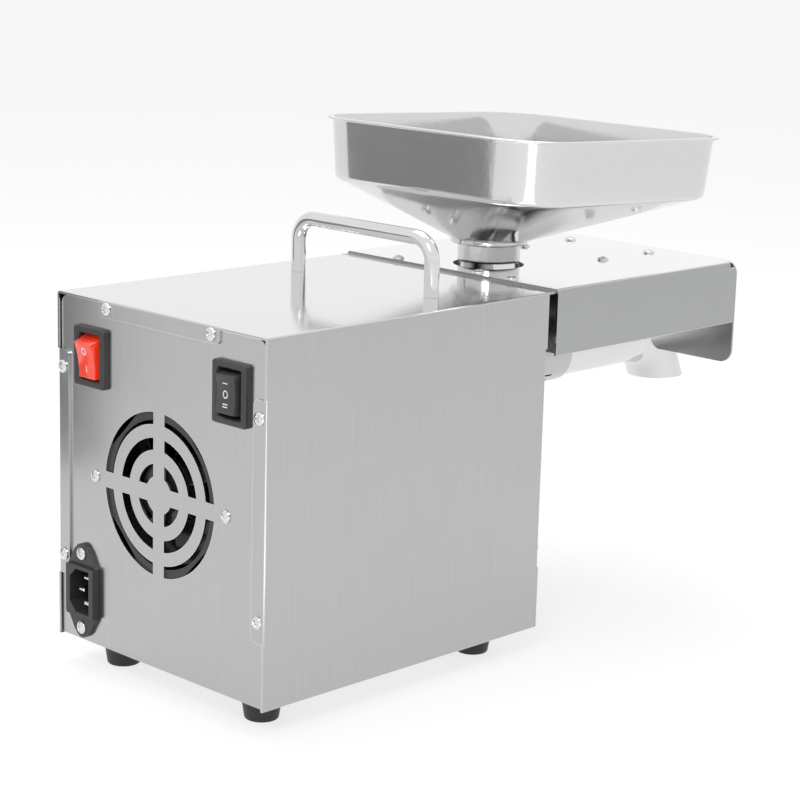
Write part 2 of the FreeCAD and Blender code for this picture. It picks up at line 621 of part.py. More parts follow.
def make_fan_frame():
    """Square fan housing, set on one corner, with a hub carried on three arms."""
    side = FAN_SIDE / 2
    x1 = FAN_X + FAN_DEPTH
    wire = rounded_plate((FAN_X, 0, 0), (0, 1, 0), (0, 0, 1), side, side, 4.0)
    frame = prism(wire, (FAN_DEPTH, 0, 0))
    frame = frame.cut(rod_x(FAN_X - 1, x1 + 1, FAN_BORE_RADIUS))
    waist = rounded_plate((FAN_X + 4, 0, 0), (0, 1, 0), (0, 0, 1), side + 1, side + 1, 4.0)
    belt = prism(waist, (FAN_DEPTH - 8, 0, 0)).cut(rod_x(FAN_X, x1, side + 0.6))
    frame = frame.cut(belt)
    arms = [block(x1 - 4, x1, -2.5, 2.5, 0, FAN_BORE_RADIUS + 1) for _ in range(3)]
    for i, arm in enumerate(arms):
        arm.rotate(Vector(0, 0, 0), Vector(1, 0, 0), 120 * i)
    hub = rod_x(x1 - 4, x1, FAN_HUB_RADIUS - 1)
    frame = fuse([frame, hub] + arms)
    half = FAN_HOLE_SPACING / 2
    for sy in (1, -1):
        for sz in (1, -1):
            frame = frame.cut(rod_x(FAN_X - 1, x1 + 1, 2.2, sy * half, sz * half))
    axle = rod_x(FAN_X + 6, x1 - 3, 1.5)
    frame = frame.fuse(axle)
    frame.rotate(Vector(0, 0, 0), Vector(1, 0, 0), 45)
    frame.translate(Vector(0, 0, GRILLE_Z))
    return frame


def make_fan_rotor():
    """Hub cup and pitched blades on the fan's own axle."""
    x0, x1 = FAN_X + 2.0, FAN_X + FAN_DEPTH - 5.5
    hub = rod_x(x0, x1, FAN_HUB_RADIUS)
    rim = [e for e in hub.Edges if abs(e.CenterOfMass.x - x0) < 0.01]
    hub = hub.makeFillet(2.0, rim)
    pieces = [hub]
    root, tip = FAN_HUB_RADIUS - 1.0, FAN_BLADE_RADIUS
    for i in range(FAN_BLADES):
        sections = []
        for radius, twist in ((root, 42.0), (tip, 27.0)):
            half = 7.4 / math.cos(math.radians(twist - 27.0))
            along = Vector(math.sin(math.radians(twist)), 0, 0) * half
            across = Vector(0, math.cos(math.radians(twist)), 0) * (half * radius / root * 0.72)
            middle = Vector((x0 + x1) / 2, 0, radius)
            skin = Vector(0, 0.8, 0)
            sections.append(Part.makePolygon([
                middle - along - across, middle + along + across,
                middle + along + across + skin, middle - along - across + skin,
                middle - along - across]))
        blade = Part.makeLoft(sections, True, True)
        blade.rotate(Vector(0, 0, 0), Vector(1, 0, 0), 360.0 * i / FAN_BLADES)
        pieces.append(blade)
    rotor = fuse(pieces)
    rotor = rotor.common(rod_x(x0, x1, FAN_BLADE_RADIUS))
    rotor = rotor.cut(rod_x(x0 + 3, x1 + 1, 1.5 + RUNNING_GAP))
    rotor.translate(Vector(0, 0, GRILLE_Z))
    return rotor


# ---- drive --------------------------------------------------------------------------------
def gear(teeth, module, x0, face, bore):
    """Spur gear on the X axis with a tooth standing at +Z, with involute flanks."""
    pitch = module * teeth / 2
    base = pitch * math.cos(math.radians(PRESSURE_ANGLE))
    tip = pitch + 0.95 * module
    root = pitch - 1.25 * module
    involute = math.tan(math.radians(PRESSURE_ANGLE)) - math.radians(PRESSURE_ANGLE)
    half = math.pi / (2 * teeth) - BACKLASH / 2 / pitch + involute
    start = max(base, root)
    points = []
    for i in range(teeth):
        middle = 2 * math.pi * i / teeth
        flank = [(root, half)] if root < base else []
        for step in range(4):
            radius = start + (tip - start) * step / 3
            roll = math.acos(min(1.0, base / radius))
            flank.append((radius, half - (math.tan(roll) - roll)))
        for radius, angle in [(r, -a) for r, a in flank] + list(reversed(flank)):
            points.append((x0, radius * math.sin(middle + angle),
                           radius * math.cos(middle + angle)))
    wheel = prism(polygon(points), (face, 0, 0))
    return wheel.cut(rod_x(x0 - 1, x0 + face + 1, bore))


def placed(shape, z, turn=0.0):
    """Shape turned about the X axis by `turn` degrees and raised to height z."""
    shape.rotate(Vector(0, 0, 0), Vector(1, 0, 0), turn)
    shape.translate(Vector(0, 0, z))
    return shape


def belt_outline(x, low, high, distance):
    """Closed wire round two circles, the lower one at z = 0, the upper one above it."""
    lean = math.asin((high - low) / distance)
    c, s = math.cos(lean), math.sin(lean)
    low_r, low_l = Vector(x, low * c, -low * s), Vector(x, -low * c, -low * s)
    top_r = Vector(x, high * c, distance - high * s)
    top_l = Vector(x, -high * c, distance - high * s)
    return Part.Wire([
        Part.LineSegment(low_r, top_r).toShape(),
        Part.Arc(top_r, Vector(x, 0, distance + high), top_l).toShape(),
        Part.LineSegment(top_l, low_l).toShape(),
        Part.Arc(low_l, Vector(x, 0, -low), low_r).toShape()])


def gearbox_prism(x0, x1, inset):
    wire = belt_outline(x0, GEARBOX_LOW_RADIUS - inset, GEARBOX_TOP_RADIUS - inset,
                        AXIS_Z - MOTOR_Z)
    return placed(prism(wire, (x1 - x0, 0, 0)), MOTOR_Z)


def make_gearbox_case():
    """Cast case, open at the back, bolted to the front wall."""
    case = gearbox_prism(GEARBOX_BACK_X, GEARBOX_FRONT_X, 0.0)
    hollow = gearbox_prism(GEARBOX_BACK_X - 1, GEARBOX_FRONT_X - GEARBOX_FACE_WALL, GEARBOX_WALL)
    case = case.cut(hollow)
    seat = GEARBOX_FRONT_X - GEARBOX_FACE_WALL
    case = case.cut(rod_x(seat - 1, GEARBOX_FRONT_X + 1, OUTPUT_SHAFT_RADIUS + 5.0, 0, AXIS_Z))
    case = case.cut(rod_x(seat - 1, seat + 5, LAYSHAFT_RADIUS + 4.0, 0, LAYSHAFT_Z))
    for y, z in barrel_bolt_places():
        case = case.cut(rod_x(seat - 1, GEARBOX_FRONT_X + 1, 2.5, y, z))
    return case


def gearbox_screw_places():
    """Five screws round the rim of the gearbox's cover."""
    middle = GEARBOX_TOP_RADIUS - GEARBOX_WALL / 2
    places = []
    for angle in (30, 90, 150):
        places.append((middle * math.cos(math.radians(angle)),
                       AXIS_Z + middle * math.sin(math.radians(angle))))
    lean = math.asin((GEARBOX_TOP_RADIUS - GEARBOX_LOW_RADIUS) / (AXIS_Z - MOTOR_Z))
    above = MOTOR_RADIUS + 6.0
    half = (GEARBOX_LOW_RADIUS + above * math.sin(lean)) / math.cos(lean) - GEARBOX_WALL / 2
    return places + [(half, MOTOR_Z + above), (-half, MOTOR_Z + above)]


def make_gearbox_cover():
    """Flat plate that closes the gearbox and carries the motor."""
    plate = gearbox_prism(GEARBOX_COVER_X, GEARBOX_BACK_X, 0.0)
    cutters = [rod_x(GEARBOX_BACK_X - 4.0, GEARBOX_BACK_X + 1, OUTPUT_SHAFT_RADIUS + 5.0, 0, AXIS_Z),
               rod_x(GEARBOX_BACK_X - 4.0, GEARBOX_BACK_X + 1, LAYSHAFT_RADIUS + 4.0, 0, LAYSHAFT_Z),
               rod_x(GEARBOX_COVER_X - 1, GEARBOX_BACK_X + 1, MOTOR_SHAFT_RADIUS + 4.0, 0, MOTOR_Z)]
    return plate.cut(Part.makeCompound(cutters))


def make_gearbox_screws():
    """Cap screws of the gearbox cover; their heads lie on the plate."""
    screws = []
    for y, z in gearbox_screw_places():
        head = rod_x(GEARBOX_COVER_X - 3.0, GEARBOX_COVER_X, 2.6, y, z)
        head = head.cut(hexagon_x(GEARBOX_COVER_X - 3.5, GEARBOX_COVER_X - 1.4, 1.5, y, z))
        screws.append(head)
    return Part.makeCompound(screws)


def make_bearings():
    """Rings that carry the output shaft, the layshaft and the motor shaft's nose."""
    seat = GEARBOX_FRONT_X - GEARBOX_FACE_WALL
    inner = OUTPUT_SHAFT_RADIUS + RUNNING_GAP
    lay = LAYSHAFT_RADIUS + RUNNING_GAP
    motor = MOTOR_SHAFT_RADIUS + RUNNING_GAP
    rings = [ring_x(seat, GEARBOX_FRONT_X, OUTPUT_SHAFT_RADIUS + 5.0, inner, 0, AXIS_Z),
             ring_x(GEARBOX_BACK_X - 4.0, GEARBOX_BACK_X, OUTPUT_SHAFT_RADIUS + 5.0, inner, 0,
                    AXIS_Z),
             ring_x(seat, seat + 5, LAYSHAFT_RADIUS + 4.0, lay, 0, LAYSHAFT_Z),
             ring_x(GEARBOX_BACK_X - 4.0, GEARBOX_BACK_X, LAYSHAFT_RADIUS + 4.0, lay, 0,
                    LAYSHAFT_Z),
             ring_x(GEARBOX_COVER_X, GEARBOX_BACK_X, MOTOR_SHAFT_RADIUS + 4.0, motor, 0, MOTOR_Z)]
    return Part.makeCompound(rings)


def make_motor():
    """Closed motor can with domed ends, vent slots and a boss towards the gearbox."""
    x1 = GEARBOX_COVER_X
    x0 = x1 - MOTOR_LENGTH
    can = rod_x(x0, x1, MOTOR_RADIUS, 0, MOTOR_Z)
    rims = [e for e in can.Edges if abs(e.CenterOfMass.x - x0) < 0.01]
    can = can.makeFillet(5.0, rims)
    groove = ring_x(x0 + 14, x0 + 15.5, MOTOR_RADIUS + 1, MOTOR_RADIUS - 1.2, 0, MOTOR_Z)
    second = ring_x(x1 - 15.5, x1 - 14, MOTOR_RADIUS + 1, MOTOR_RADIUS - 1.2, 0, MOTOR_Z)
    can = can.cut(groove).cut(second)
    cap = rod_x(x0 - 5, x0 + 1, 11.0, 0, MOTOR_Z)
    brushes = [rod((x0 + 10, side * (MOTOR_RADIUS - 2), MOTOR_Z), (0, side, 0), 5.0, 5.0)
               for side in (1, -1)]
    can = fuse([can, cap] + brushes)
    return can.cut(rod_x(x1 - 30, x1 + 1, MOTOR_SHAFT_RADIUS + RUNNING_GAP, 0, MOTOR_Z))


def make_motor_shaft():
    return rod_x(GEARBOX_COVER_X - 29, FAST_X + FAST_FACE + 3, MOTOR_SHAFT_RADIUS, 0, MOTOR_Z)


def make_motor_pinion():
    """Pinion turned half a tooth, so that a gap faces the wheel's tooth above it."""
    pinion = gear(PINION_TEETH, FAST_MODULE, FAST_X - 1, FAST_FACE + 2, MOTOR_SHAFT_RADIUS)
    return placed(pinion, MOTOR_Z, 180.0 / PINION_TEETH)


def make_layshaft():
    x1 = GEARBOX_FRONT_X - GEARBOX_FACE_WALL + 4.5
    return rod_x(GEARBOX_BACK_X - 3.5, x1, LAYSHAFT_RADIUS, 0, LAYSHAFT_Z)


def make_layshaft_wheel():
    """Large wheel, driven from below: one of its teeth points straight down."""
    wheel = gear(WHEEL_TEETH, FAST_MODULE, FAST_X, FAST_FACE, LAYSHAFT_RADIUS)
    holes = []
    for i in range(6):
        hole = rod_x(FAST_X - 1, FAST_X + FAST_FACE + 1, 3.6, 13.0, 0)
        hole.rotate(Vector(0, 0, 0), Vector(1, 0, 0), 60 * i)
        holes.append(hole)
    return placed(wheel.cut(Part.makeCompound(holes)), LAYSHAFT_Z)


def make_layshaft_pinion():
    pinion = gear(PINION_TEETH, SLOW_MODULE, SLOW_X - 1, SLOW_FACE + 2, LAYSHAFT_RADIUS)
    return placed(pinion, LAYSHAFT_Z)


def make_output_wheel():
    """Slow wheel on the output shaft, turned so that a gap meets the pinion's top tooth."""
    wheel = gear(WHEEL_TEETH, SLOW_MODULE, SLOW_X, SLOW_FACE, OUTPUT_SHAFT_RADIUS)
    hub = ring_x(SLOW_X - 6, SLOW_X, OUTPUT_SHAFT_RADIUS + 5, OUTPUT_SHAFT_RADIUS)
    wheel = fuse([wheel, hub])
    web = ring_x(SLOW_X - 1, SLOW_X + 3.5, 22.0, OUTPUT_SHAFT_RADIUS + 5)
    return placed(wheel.cut(web), AXIS_Z, 180.0 / WHEEL_TEETH)


def make_output_shaft():
    """Shaft with a hexagonal socket in its nose for the press screw."""
    x1 = FRONT_X + 4.0
    shaft = rod_x(GEARBOX_BACK_X - 3.5, x1, OUTPUT_SHAFT_RADIUS, 0, AXIS_Z)
    return shaft.cut(hexagon_x(x1 - 22, x1 + 1, HEX_SOCKET + HEX_GAP, 0, AXIS_Z))


# ---- barrel, press screw and outlet -----------------------------------------------------
def make_barrel():
    """Thick tube with a bolted flange, a feed port on top and oil slots underneath."""
    x0 = FRONT_X
    tube = rod_x(x0, BARREL_END_X, BARREL_RADIUS, 0, AXIS_Z)
    ends = [e for e in tube.Edges if abs(e.CenterOfMass.x - BARREL_END_X) < 0.01]
    tube = tube.makeChamfer(1.0, ends)
    flange = rod_x(x0, x0 + BARREL_FLANGE, BARREL_FLANGE_RADIUS, 0, AXIS_Z)
    barrel = fuse([tube, flange])
    cutters = [rod_x(x0 + 8.0, BARREL_END_X + 1, BARREL_BORE, 0, AXIS_Z),
               rod_x(x0 - 1, x0 + 9.0, OUTPUT_SHAFT_RADIUS + 0.6, 0, AXIS_Z),
               rod_x(BARREL_END_X - TUBE_SEAT, BARREL_END_X + 1, TUBE_RADIUS - 1.2, 0, AXIS_Z),
               rod_z(AXIS_Z, AXIS_Z + BARREL_RADIUS + 1, FEED_PORT_RADIUS, FEED_X)]
    for y, z in barrel_bolt_places():
        cutters.append(rod_x(x0 - 1, x0 + BARREL_FLANGE + 1, 2.7, y, z))
    barrel = barrel.cut(Part.makeCompound(cutters))
    slot_half = OIL_SLOT_WIDTH / 2
    for i in range(OIL_SLOTS):
        slot = block(OIL_SLOT_X, OIL_SLOT_X + OIL_SLOT_LENGTH, -slot_half, slot_half,
                     -BARREL_RADIUS - 1, -BARREL_BORE + 1.5)
        slot.rotate(Vector(0, 0, 0), Vector(1, 0, 0), 17.0 * (i - (OIL_SLOTS - 1) / 2))
        slot.translate(Vector(0, 0, AXIS_Z))
        barrel = barrel.cut(slot)
    return barrel


def make_barrel_bolts():
    """Hexagon-head bolts through the flange and front wall into the gearbox case."""
    bolts = []
    seat = FRONT_X + BARREL_FLANGE
    for y, z in barrel_bolt_places():
        head = hexagon_x(seat, seat + 3.6, 4.6, y, z)
        shank = rod_x(GEARBOX_FRONT_X - GEARBOX_FACE_WALL + 0.5, seat, 2.45, y, z)
        bolts.append(fuse([head, shank]))
    return Part.makeCompound(bolts)


def make_feed_throat():
    """Short upright tube saddled on the barrel, with a seat for the hopper's neck."""
    outer, inner = THROAT_BORE + THROAT_WALL, THROAT_BORE
    top = BASE + THROAT_TOP
    tube = rod_z(AXIS_Z + 6.0, top, outer, FEED_X)
    rim = [e for e in tube.Edges if abs(e.CenterOfMass.z - top) < 0.01]
    tube = tube.makeChamfer(0.8, rim)
    tube = tube.cut(rod_z(BASE + NECK_BOTTOM, top + 1, inner, FEED_X))
    tube = tube.cut(rod_z(AXIS_Z, top + 1, FEED_PORT_RADIUS, FEED_X))
    return tube.cut(rod_x(FEED_X - 40, FEED_X + 40, BARREL_RADIUS, 0, AXIS_Z))


def make_press_screw():
    """Feed screw: hexagonal shank, journal, helical flight on a swelling core, cone."""
    x0 = FRONT_X + 4.0
    start = x0 + 6.5
    end = TUBE_END_X - CHOKE_LENGTH - 12.0
    length = end - start
    core = Part.makeCone(SCREW_CORE_START, SCREW_CORE_END, length, Vector(start, 0, 0),
                         Vector(1, 0, 0))
    journal = rod_x(x0 + 0.6, start + 0.5, OUTPUT_SHAFT_RADIUS)
    shank = hexagon_x(x0 - 20, x0 + 1.5, HEX_SOCKET)
    cone = Part.makeCone(SCREW_CORE_END, CHOKE_BORE - 3.2, 14.0, Vector(end, 0, 0),
                         Vector(1, 0, 0))
    root = SCREW_CORE_START - 1.5
    helix = Part.makeHelix(SCREW_PITCH, length - FLIGHT_WIDTH, root)
    half = FLIGHT_WIDTH / 2
    profile = Part.makePolygon([
        Vector(root, 0, -half), Vector(SCREW_RADIUS, 0, -half * 0.6),
        Vector(SCREW_RADIUS, 0, half * 0.6), Vector(root, 0, half), Vector(root, 0, -half)])
    flight = Part.Wire(helix.Edges).makePipeShell([profile], True, True)
    flight.rotate(Vector(0, 0, 0), Vector(0, 1, 0), 90)
    flight.translate(Vector(start + half, 0, 0))
    screw = fuse([core, journal, shank, cone, flight])
    return placed(screw, AXIS_Z)


def make_outlet_tube():
    """Light tube that carries the cake from the barrel to the outlet bend."""
    x0 = BARREL_END_X - TUBE_SEAT
    tube = rod_x(BARREL_END_X, TUBE_END_X, TUBE_RADIUS, 0, AXIS_Z)
    spigot = rod_x(x0, BARREL_END_X + 1, TUBE_RADIUS - 1.2, 0, AXIS_Z)
    return fuse([tube, spigot]).cut(rod_x(x0 - 1, TUBE_END_X + 1, BARREL_BORE, 0, AXIS_Z))


def make_choke():
    """Conical ring that the screw's cone works against."""
    x0 = TUBE_END_X - CHOKE_LENGTH
    ring = rod_x(x0, TUBE_END_X, BARREL_BORE)
    bore = Part.makeCone(BARREL_BORE - 1.0, CHOKE_BORE, CHOKE_LENGTH, Vector(x0, 0, 0),
                         Vector(1, 0, 0))
    return placed(ring.cut(bore), AXIS_Z)


def make_spout():
    """Outlet bend: a tube that turns down and is cut off level."""
    turn = math.radians(SPOUT_TURN)
    tangent = SPOUT_BEND * math.tan(turn / 2)
    start = Vector(TUBE_END_X, 0, AXIS_Z)
    bend_in = Vector(SPOUT_CORNER_X - tangent, 0, AXIS_Z)
    centre = bend_in - Vector(0, 0, SPOUT_BEND)

    def on_bend(angle):
        return centre + Vector(SPOUT_BEND * math.sin(angle), 0, SPOUT_BEND * math.cos(angle))

    bend_out = on_bend(turn)
    run = 45.0
    end = bend_out + Vector(math.cos(turn), 0, -math.sin(turn)) * run
    path = Part.Wire([Part.LineSegment(start, bend_in).toShape(),
                      Part.Arc(bend_in, on_bend(turn / 2), bend_out).toShape(),
                      Part.LineSegment(bend_out, end).toShape()])
    pipes = []
    for radius in (TUBE_RADIUS, TUBE_RADIUS - TUBE_WALL):
        section = Part.Wire([Part.makeCircle(radius, start, Vector(1, 0, 0))])
        pipes.append(path.makePipeShell([section], True, False))
    spout = pipes[0].cut(pipes[1])
    lip = BASE + SPOUT_LIP_HEIGHT
    return spout.common(block(TUBE_END_X, TUBE_END_X + 100, -30, 30, lip, lip + 80))


# ---- cover ------------------------------------------------------------------------------
def make_cover():
    """Folded lid over the barrel: top, two low sides and a deep end plate."""
    top = TOP + SHEET
    sheets = []
    for side in (1, -1):
        sheets.append(fold((COVER_X, side * HALF_WIDTH, top), (0, -side, 0), (0, 0, -1),
                           HALF_WIDTH, COVER_SIDE, (1, 0, 0), COVER_LENGTH))
    lid = fuse(sheets)
    corner = fold((COVER_NOSE_X, -HALF_WIDTH, top), (-1, 0, 0), (0, 0, -1), 20.0, COVER_END,
                  (0, 1, 0), HOUSING_WIDTH)
    outline = rounded_plate((COVER_X - 5, 0, top - COVER_END / 2), (0, 1, 0), (0, 0, 1),
                            HALF_WIDTH, COVER_END / 2, COVER_CORNER)
    corner = corner.common(prism(outline, (COVER_LENGTH + 10, 0, 0)))
    upper = rounded_plate((COVER_X - 5, 0, top - COVER_END / 2), (0, 1, 0), (0, 0, 1),
                          HALF_WIDTH, COVER_END / 2, SHEET + BEND)
    lid = lid.common(prism(upper, (COVER_LENGTH - SHEET - BEND, 0, 0)).fuse(
        prism(outline, (COVER_LENGTH + 10, 0, 0))))
    cover = fuse([lid, corner])
    notch = rod_x(COVER_NOSE_X - 3, COVER_NOSE_X + 1, COVER_NOTCH, 0, AXIS_Z)
    cutters = [notch, rod_z(TOP - 1, top + 1, COVER_HOLE_RADIUS, FEED_X)]
    low = top - COVER_END
    mouth = COVER_NOTCH + COVER_NOTCH_CORNER
    rise = AXIS_Z - low
    flare = [(COVER_NOSE_X - 3, -mouth, low - 1), (COVER_NOSE_X - 3, mouth, low - 1),
             (COVER_NOSE_X - 3, COVER_NOTCH, low + rise), (COVER_NOSE_X - 3, -COVER_NOTCH,
                                                          low + rise)]
    flared = prism(polygon(flare), (4, 0, 0))
    for side in (1, -1):
        flared = flared.cut(rod_x(COVER_NOSE_X - 4, COVER_NOSE_X + 2, COVER_NOTCH_CORNER,
                                  side * mouth, low + COVER_NOTCH_CORNER))
    cutters.append(flared)
    for seat in rear_cover_seats() + stay_seats():
        cutters.append(screw_hole(seat, (0, 0, 1)))
    return cover.cut(Part.makeCompound(cutters))


def make_cover_support():
    """Channel on the front wall that carries the back edge of the cover."""
    half = HALF_WIDTH - SHEET - 0.4
    x1 = FRONT_X + SUPPORT_WIDTH
    middle = FRONT_X + SUPPORT_WIDTH / 2
    rear = fold((FRONT_X, -half, TOP), (1, 0, 0), (0, 0, -1), middle - FRONT_X, SUPPORT_LEG,
                (0, 1, 0), 2 * half)
    front = fold((x1, -half, TOP), (-1, 0, 0), (0, 0, -1), x1 - middle, SUPPORT_DROP,
                 (0, 1, 0), 2 * half)
    channel = fuse([rear, front])
    for side in (1, -1):
        edge = side * (HALF_WIDTH - TAB_REACH - 1.0)
        far = side * HALF_WIDTH
        channel = channel.cut(block(FRONT_X - 1, HOUSING_LENGTH + 0.3, min(edge, far),
                                    max(edge, far), BASE, TOP + 1))
    cutters = [screw_hole(seat, (1, 0, 0)) for seat in support_screw_seats()]
    cutters += [screw_hole(seat, (0, 0, 1)) for seat in rear_cover_seats()]
    throat = THROAT_BORE + THROAT_WALL + 1.0
    cutters.append(rod_z(BASE + 100, TOP - SHEET - 0.5, throat, FEED_X))
    return channel.cut(Part.makeCompound(cutters))


def make_cover_stays():
    """Two upright plates, saddled on the outlet tube, with a flange under the cover."""
    stays = []
    top, low = TOP, AXIS_Z + TUBE_RADIUS / 3
    for x in STAY_X:
        angle = fold((x + STAY_FLANGE / 2, -STAY_HALF, top), (-1, 0, 0), (0, 0, -1), STAY_FLANGE,
                     top - low, (0, 1, 0), 2 * STAY_HALF)
        taper = polygon([(x - 20, -STAY_HALF, top + 1), (x - 20, STAY_HALF, top + 1),
                         (x - 20, STAY_HALF, top - 10), (x - 20, TUBE_RADIUS + 4, low),
                         (x - 20, -TUBE_RADIUS - 4, low), (x - 20, -STAY_HALF, top - 10)])
        angle = angle.common(prism(taper, (40, 0, 0)))
        angle = angle.cut(rod_x(x - 20, x + 20, TUBE_RADIUS, 0, AXIS_Z))
        for seat in stay_seats():
            angle = angle.cut(screw_hole(seat, (0, 0, 1)))
        stays.append(angle)
    return Part.makeCompound(stays)


# ---- hopper -----------------------------------------------------------------------------
def rounded_square(half, corner, z):
    """Edges of a rounded square, in order: four sides and four corners."""
    return rounded_plate((0, 0, z), (1, 0, 0), (0, 1, 0), half, half, corner)


def funnel(half, corner, z_top, radius, z_low, x_low):
    """Solid between a rounded square and a circle, matched side to side."""
    upper = rounded_square(half, corner, z_top)
    split = math.atan2(half - corner, half)
    arcs = []
    angles = []
    for quarter in range(4):
        turn = quarter * math.pi / 2
        angles.append((turn + split, turn + math.pi / 2 - split))
    for i, (a, b) in enumerate(angles):
        for start, end in ((a, b), (b, angles[(i + 1) % 4][0] + (2 * math.pi if i == 3 else 0))):
            middle = (start + end) / 2
            arcs.append(Part.Arc(*[Vector(x_low + radius * math.cos(t), radius * math.sin(t),
                                          z_low) for t in (start, middle, end)]).toShape())
    lower = Part.Wire(arcs)
    return Part.makeLoft([upper, lower], True, True)


def tray_solid(inset, rim, floor):
    """Tray and funnel as one solid, `inset` inside the outer skin, in its own frame."""
    crease = TRAY_CREASE_HEIGHT - TRAY_RIM_HEIGHT
    foot = NECK_TOP - TRAY_RIM_HEIGHT
    half_top, half_low = TRAY_HALF - inset, TRAY_HALF - TRAY_TAPER - inset
    corner = TRAY_CORNER - inset
    walls = Part.makeLoft([rounded_square(half_top, corner, rim),
                           rounded_square(half_low, corner - 1, crease)], True, True)
    lower = funnel(half_low, corner - 1, crease, FUNNEL_FOOT_RADIUS - inset, foot + floor,
                   FEED_X - TRAY_X)
    return walls.fuse(lower)


def make_hopper():
    """Square tray with a lip, a lop-sided funnel and a neck that plugs into the throat."""
    outer = tray_solid(0.0, 0.0, 0.0)
    inner = tray_solid(HOPPER_SHEET, 0.0, 0.0)
    tray = outer.cut(inner)
    lip = prism(rounded_square(TRAY_HALF + TRAY_LIP, TRAY_CORNER + TRAY_LIP, -1.4), (0, 0, 1.4))
    lip = lip.cut(prism(rounded_square(TRAY_HALF - HOPPER_SHEET, TRAY_CORNER - HOPPER_SHEET, -3),
                        (0, 0, 6)))
    tray = fuse([tray, lip])
    tray.translate(Vector(TRAY_X, 0, BASE + TRAY_RIM_HEIGHT))
    tray.rotate(Vector(FEED_X, 0, BASE + NECK_TOP), Vector(0, 1, 0), TRAY_LEAN)
    low, high = BASE + NECK_BOTTOM + 0.4, BASE + NECK_TOP
    foot = rod_z(high - 2.2, high + 1.2, FUNNEL_FOOT_RADIUS, FEED_X)
    neck = rod_z(low, high, NECK_RADIUS, FEED_X)
    inside = prism(Part.Wire([Part.makeCircle(NECK_RADIUS - 1.5, Vector(FEED_X, 0, low - 1))]),
                   (0, 0, high - low + 6))
    return fuse([tray, foot, neck]).cut(inside)


# ---- electronics ------------------------------------------------------------------------
BOARD_X, BOARD_Y, BOARD_LENGTH, BOARD_HEIGHT = 60.0, -58.0, 84.0, 62.0


def board_post_places():
    return [(BOARD_X + dx, BASE + 34.0 + dz) for dx in (6.0, BOARD_LENGTH - 6.0)
            for dz in (6.0, BOARD_HEIGHT - 6.0)]


def make_board_bracket():
    """Folded plate that stands on the bottom sheet and holds the control board."""
    y = BOARD_Y - 8.0
    plate = fold((BOARD_X, y, BASE + SHEET), (0, 1, 0), (0, 0, 1), 14.0,
                 36.0 + BOARD_HEIGHT, (1, 0, 0), BOARD_LENGTH)
    return plate


def make_board_posts():
    y0 = BOARD_Y - 8.0 + SHEET
    return Part.makeCompound([rod((x, y0, z), (0, 1, 0), BOARD_Y - y0, 2.5)
                              for x, z in board_post_places()])


def make_control_board():
    """Circuit board with its relays, capacitor, heat sink and terminal strip."""
    z0 = BASE + 34.0
    board = block(BOARD_X, BOARD_X + BOARD_LENGTH, BOARD_Y, BOARD_Y + 1.6, z0, z0 + BOARD_HEIGHT)
    y = BOARD_Y + 1.6
    pieces = [board]
    for i in range(2):
        x = BOARD_X + 12 + 24 * i
        pieces.append(block(x, x + 19, y, y + 10.0, z0 + 34, z0 + 50))
    pieces.append(rod((BOARD_X + 70, y, z0 + 40), (0, 1, 0), 12.0, 7.0))
    for i in range(5):
        x = BOARD_X + 14 + 10 * i
        pieces.append(block(x, x + 8.6, y, y + 8.0, z0 + 5, z0 + 14))
    return fuse(pieces)


# ---- the whole machine -------------------------------------------------------------------
parts["chassis"] = make_chassis()
parts["shell"] = make_shell()
parts["back_screws"] = Part.makeCompound([pan_screw(s, (-1, 0, 0)) for s in back_screw_seats()])
parts["front_screws"] = Part.makeCompound([pan_screw(s, (1, 0, 0)) for s in front_screw_seats()])
parts["feet"] = make_feet()
parts["foot_screws"] = make_foot_screws()
parts["carry_handle"] = make_handle()
parts["handle_nuts"] = make_handle_nuts()
parts["power_switch_body"] = make_bezel(POWER_SWITCH_Y)
parts["power_rocker"] = make_rocker(POWER_SWITCH_Y, -10.0)
parts["direction_switch_body"] = make_bezel(DIRECTION_SWITCH_Y)
parts["direction_rocker"] = make_rocker(DIRECTION_SWITCH_Y, 0.0)
parts["inlet_body"] = make_inlet()
parts["inlet_pins"] = make_inlet_pins()
parts["inlet_screws"] = Part.makeCompound([pan_screw(s, (-1, 0, 0)) for s in inlet_screw_seats()])
parts["fan_frame"] = make_fan_frame()
parts["fan_rotor"] = make_fan_rotor()
parts["fan_screws"] = Part.makeCompound([pan_screw(s, (-1, 0, 0)) for s in fan_screw_seats()])
parts["gearbox_case"] = make_gearbox_case()
parts["gearbox_cover"] = make_gearbox_cover()
parts["gearbox_screws"] = make_gearbox_screws()
parts["shaft_bearings"] = make_bearings()
parts["motor"] = make_motor()
parts["motor_shaft"] = make_motor_shaft()
parts["motor_pinion"] = make_motor_pinion()
parts["layshaft"] = make_layshaft()
parts["layshaft_wheel"] = make_layshaft_wheel()
parts["layshaft_pinion"] = make_layshaft_pinion()
parts["output_wheel"] = make_output_wheel()
parts["output_shaft"] = make_output_shaft()
parts["press_screw"] = make_press_screw()
parts["barrel"] = make_barrel()
parts["barrel_bolts"] = make_barrel_bolts()
parts["feed_throat"] = make_feed_throat()
parts["outlet_tube"] = make_outlet_tube()
parts["choke_ring"] = make_choke()
parts["outlet_spout"] = make_spout()
parts["cover"] = make_cover()
parts["cover_support"] = make_cover_support()
parts["cover_stays"] = make_cover_stays()
parts["support_screws"] = Part.makeCompound([pan_screw(s, (1, 0, 0), 5.0)
                                             for s in support_screw_seats()])
parts["cover_screws"] = Part.makeCompound([pan_screw(s, (0, 0, 1), 5.0)
                                           for s in rear_cover_seats() + stay_seats()])
parts["hopper"] = make_hopper()
parts["board_bracket"] = make_board_bracket()
parts["board_posts"] = make_board_posts()
parts["control_board"] = make_control_board()

box = Part.makeCompound(list(parts.values())).BoundBox
to_origin = Vector(-(box.XMin + box.XMax) / 2, -(box.YMin + box.YMax) / 2, -box.ZMin)

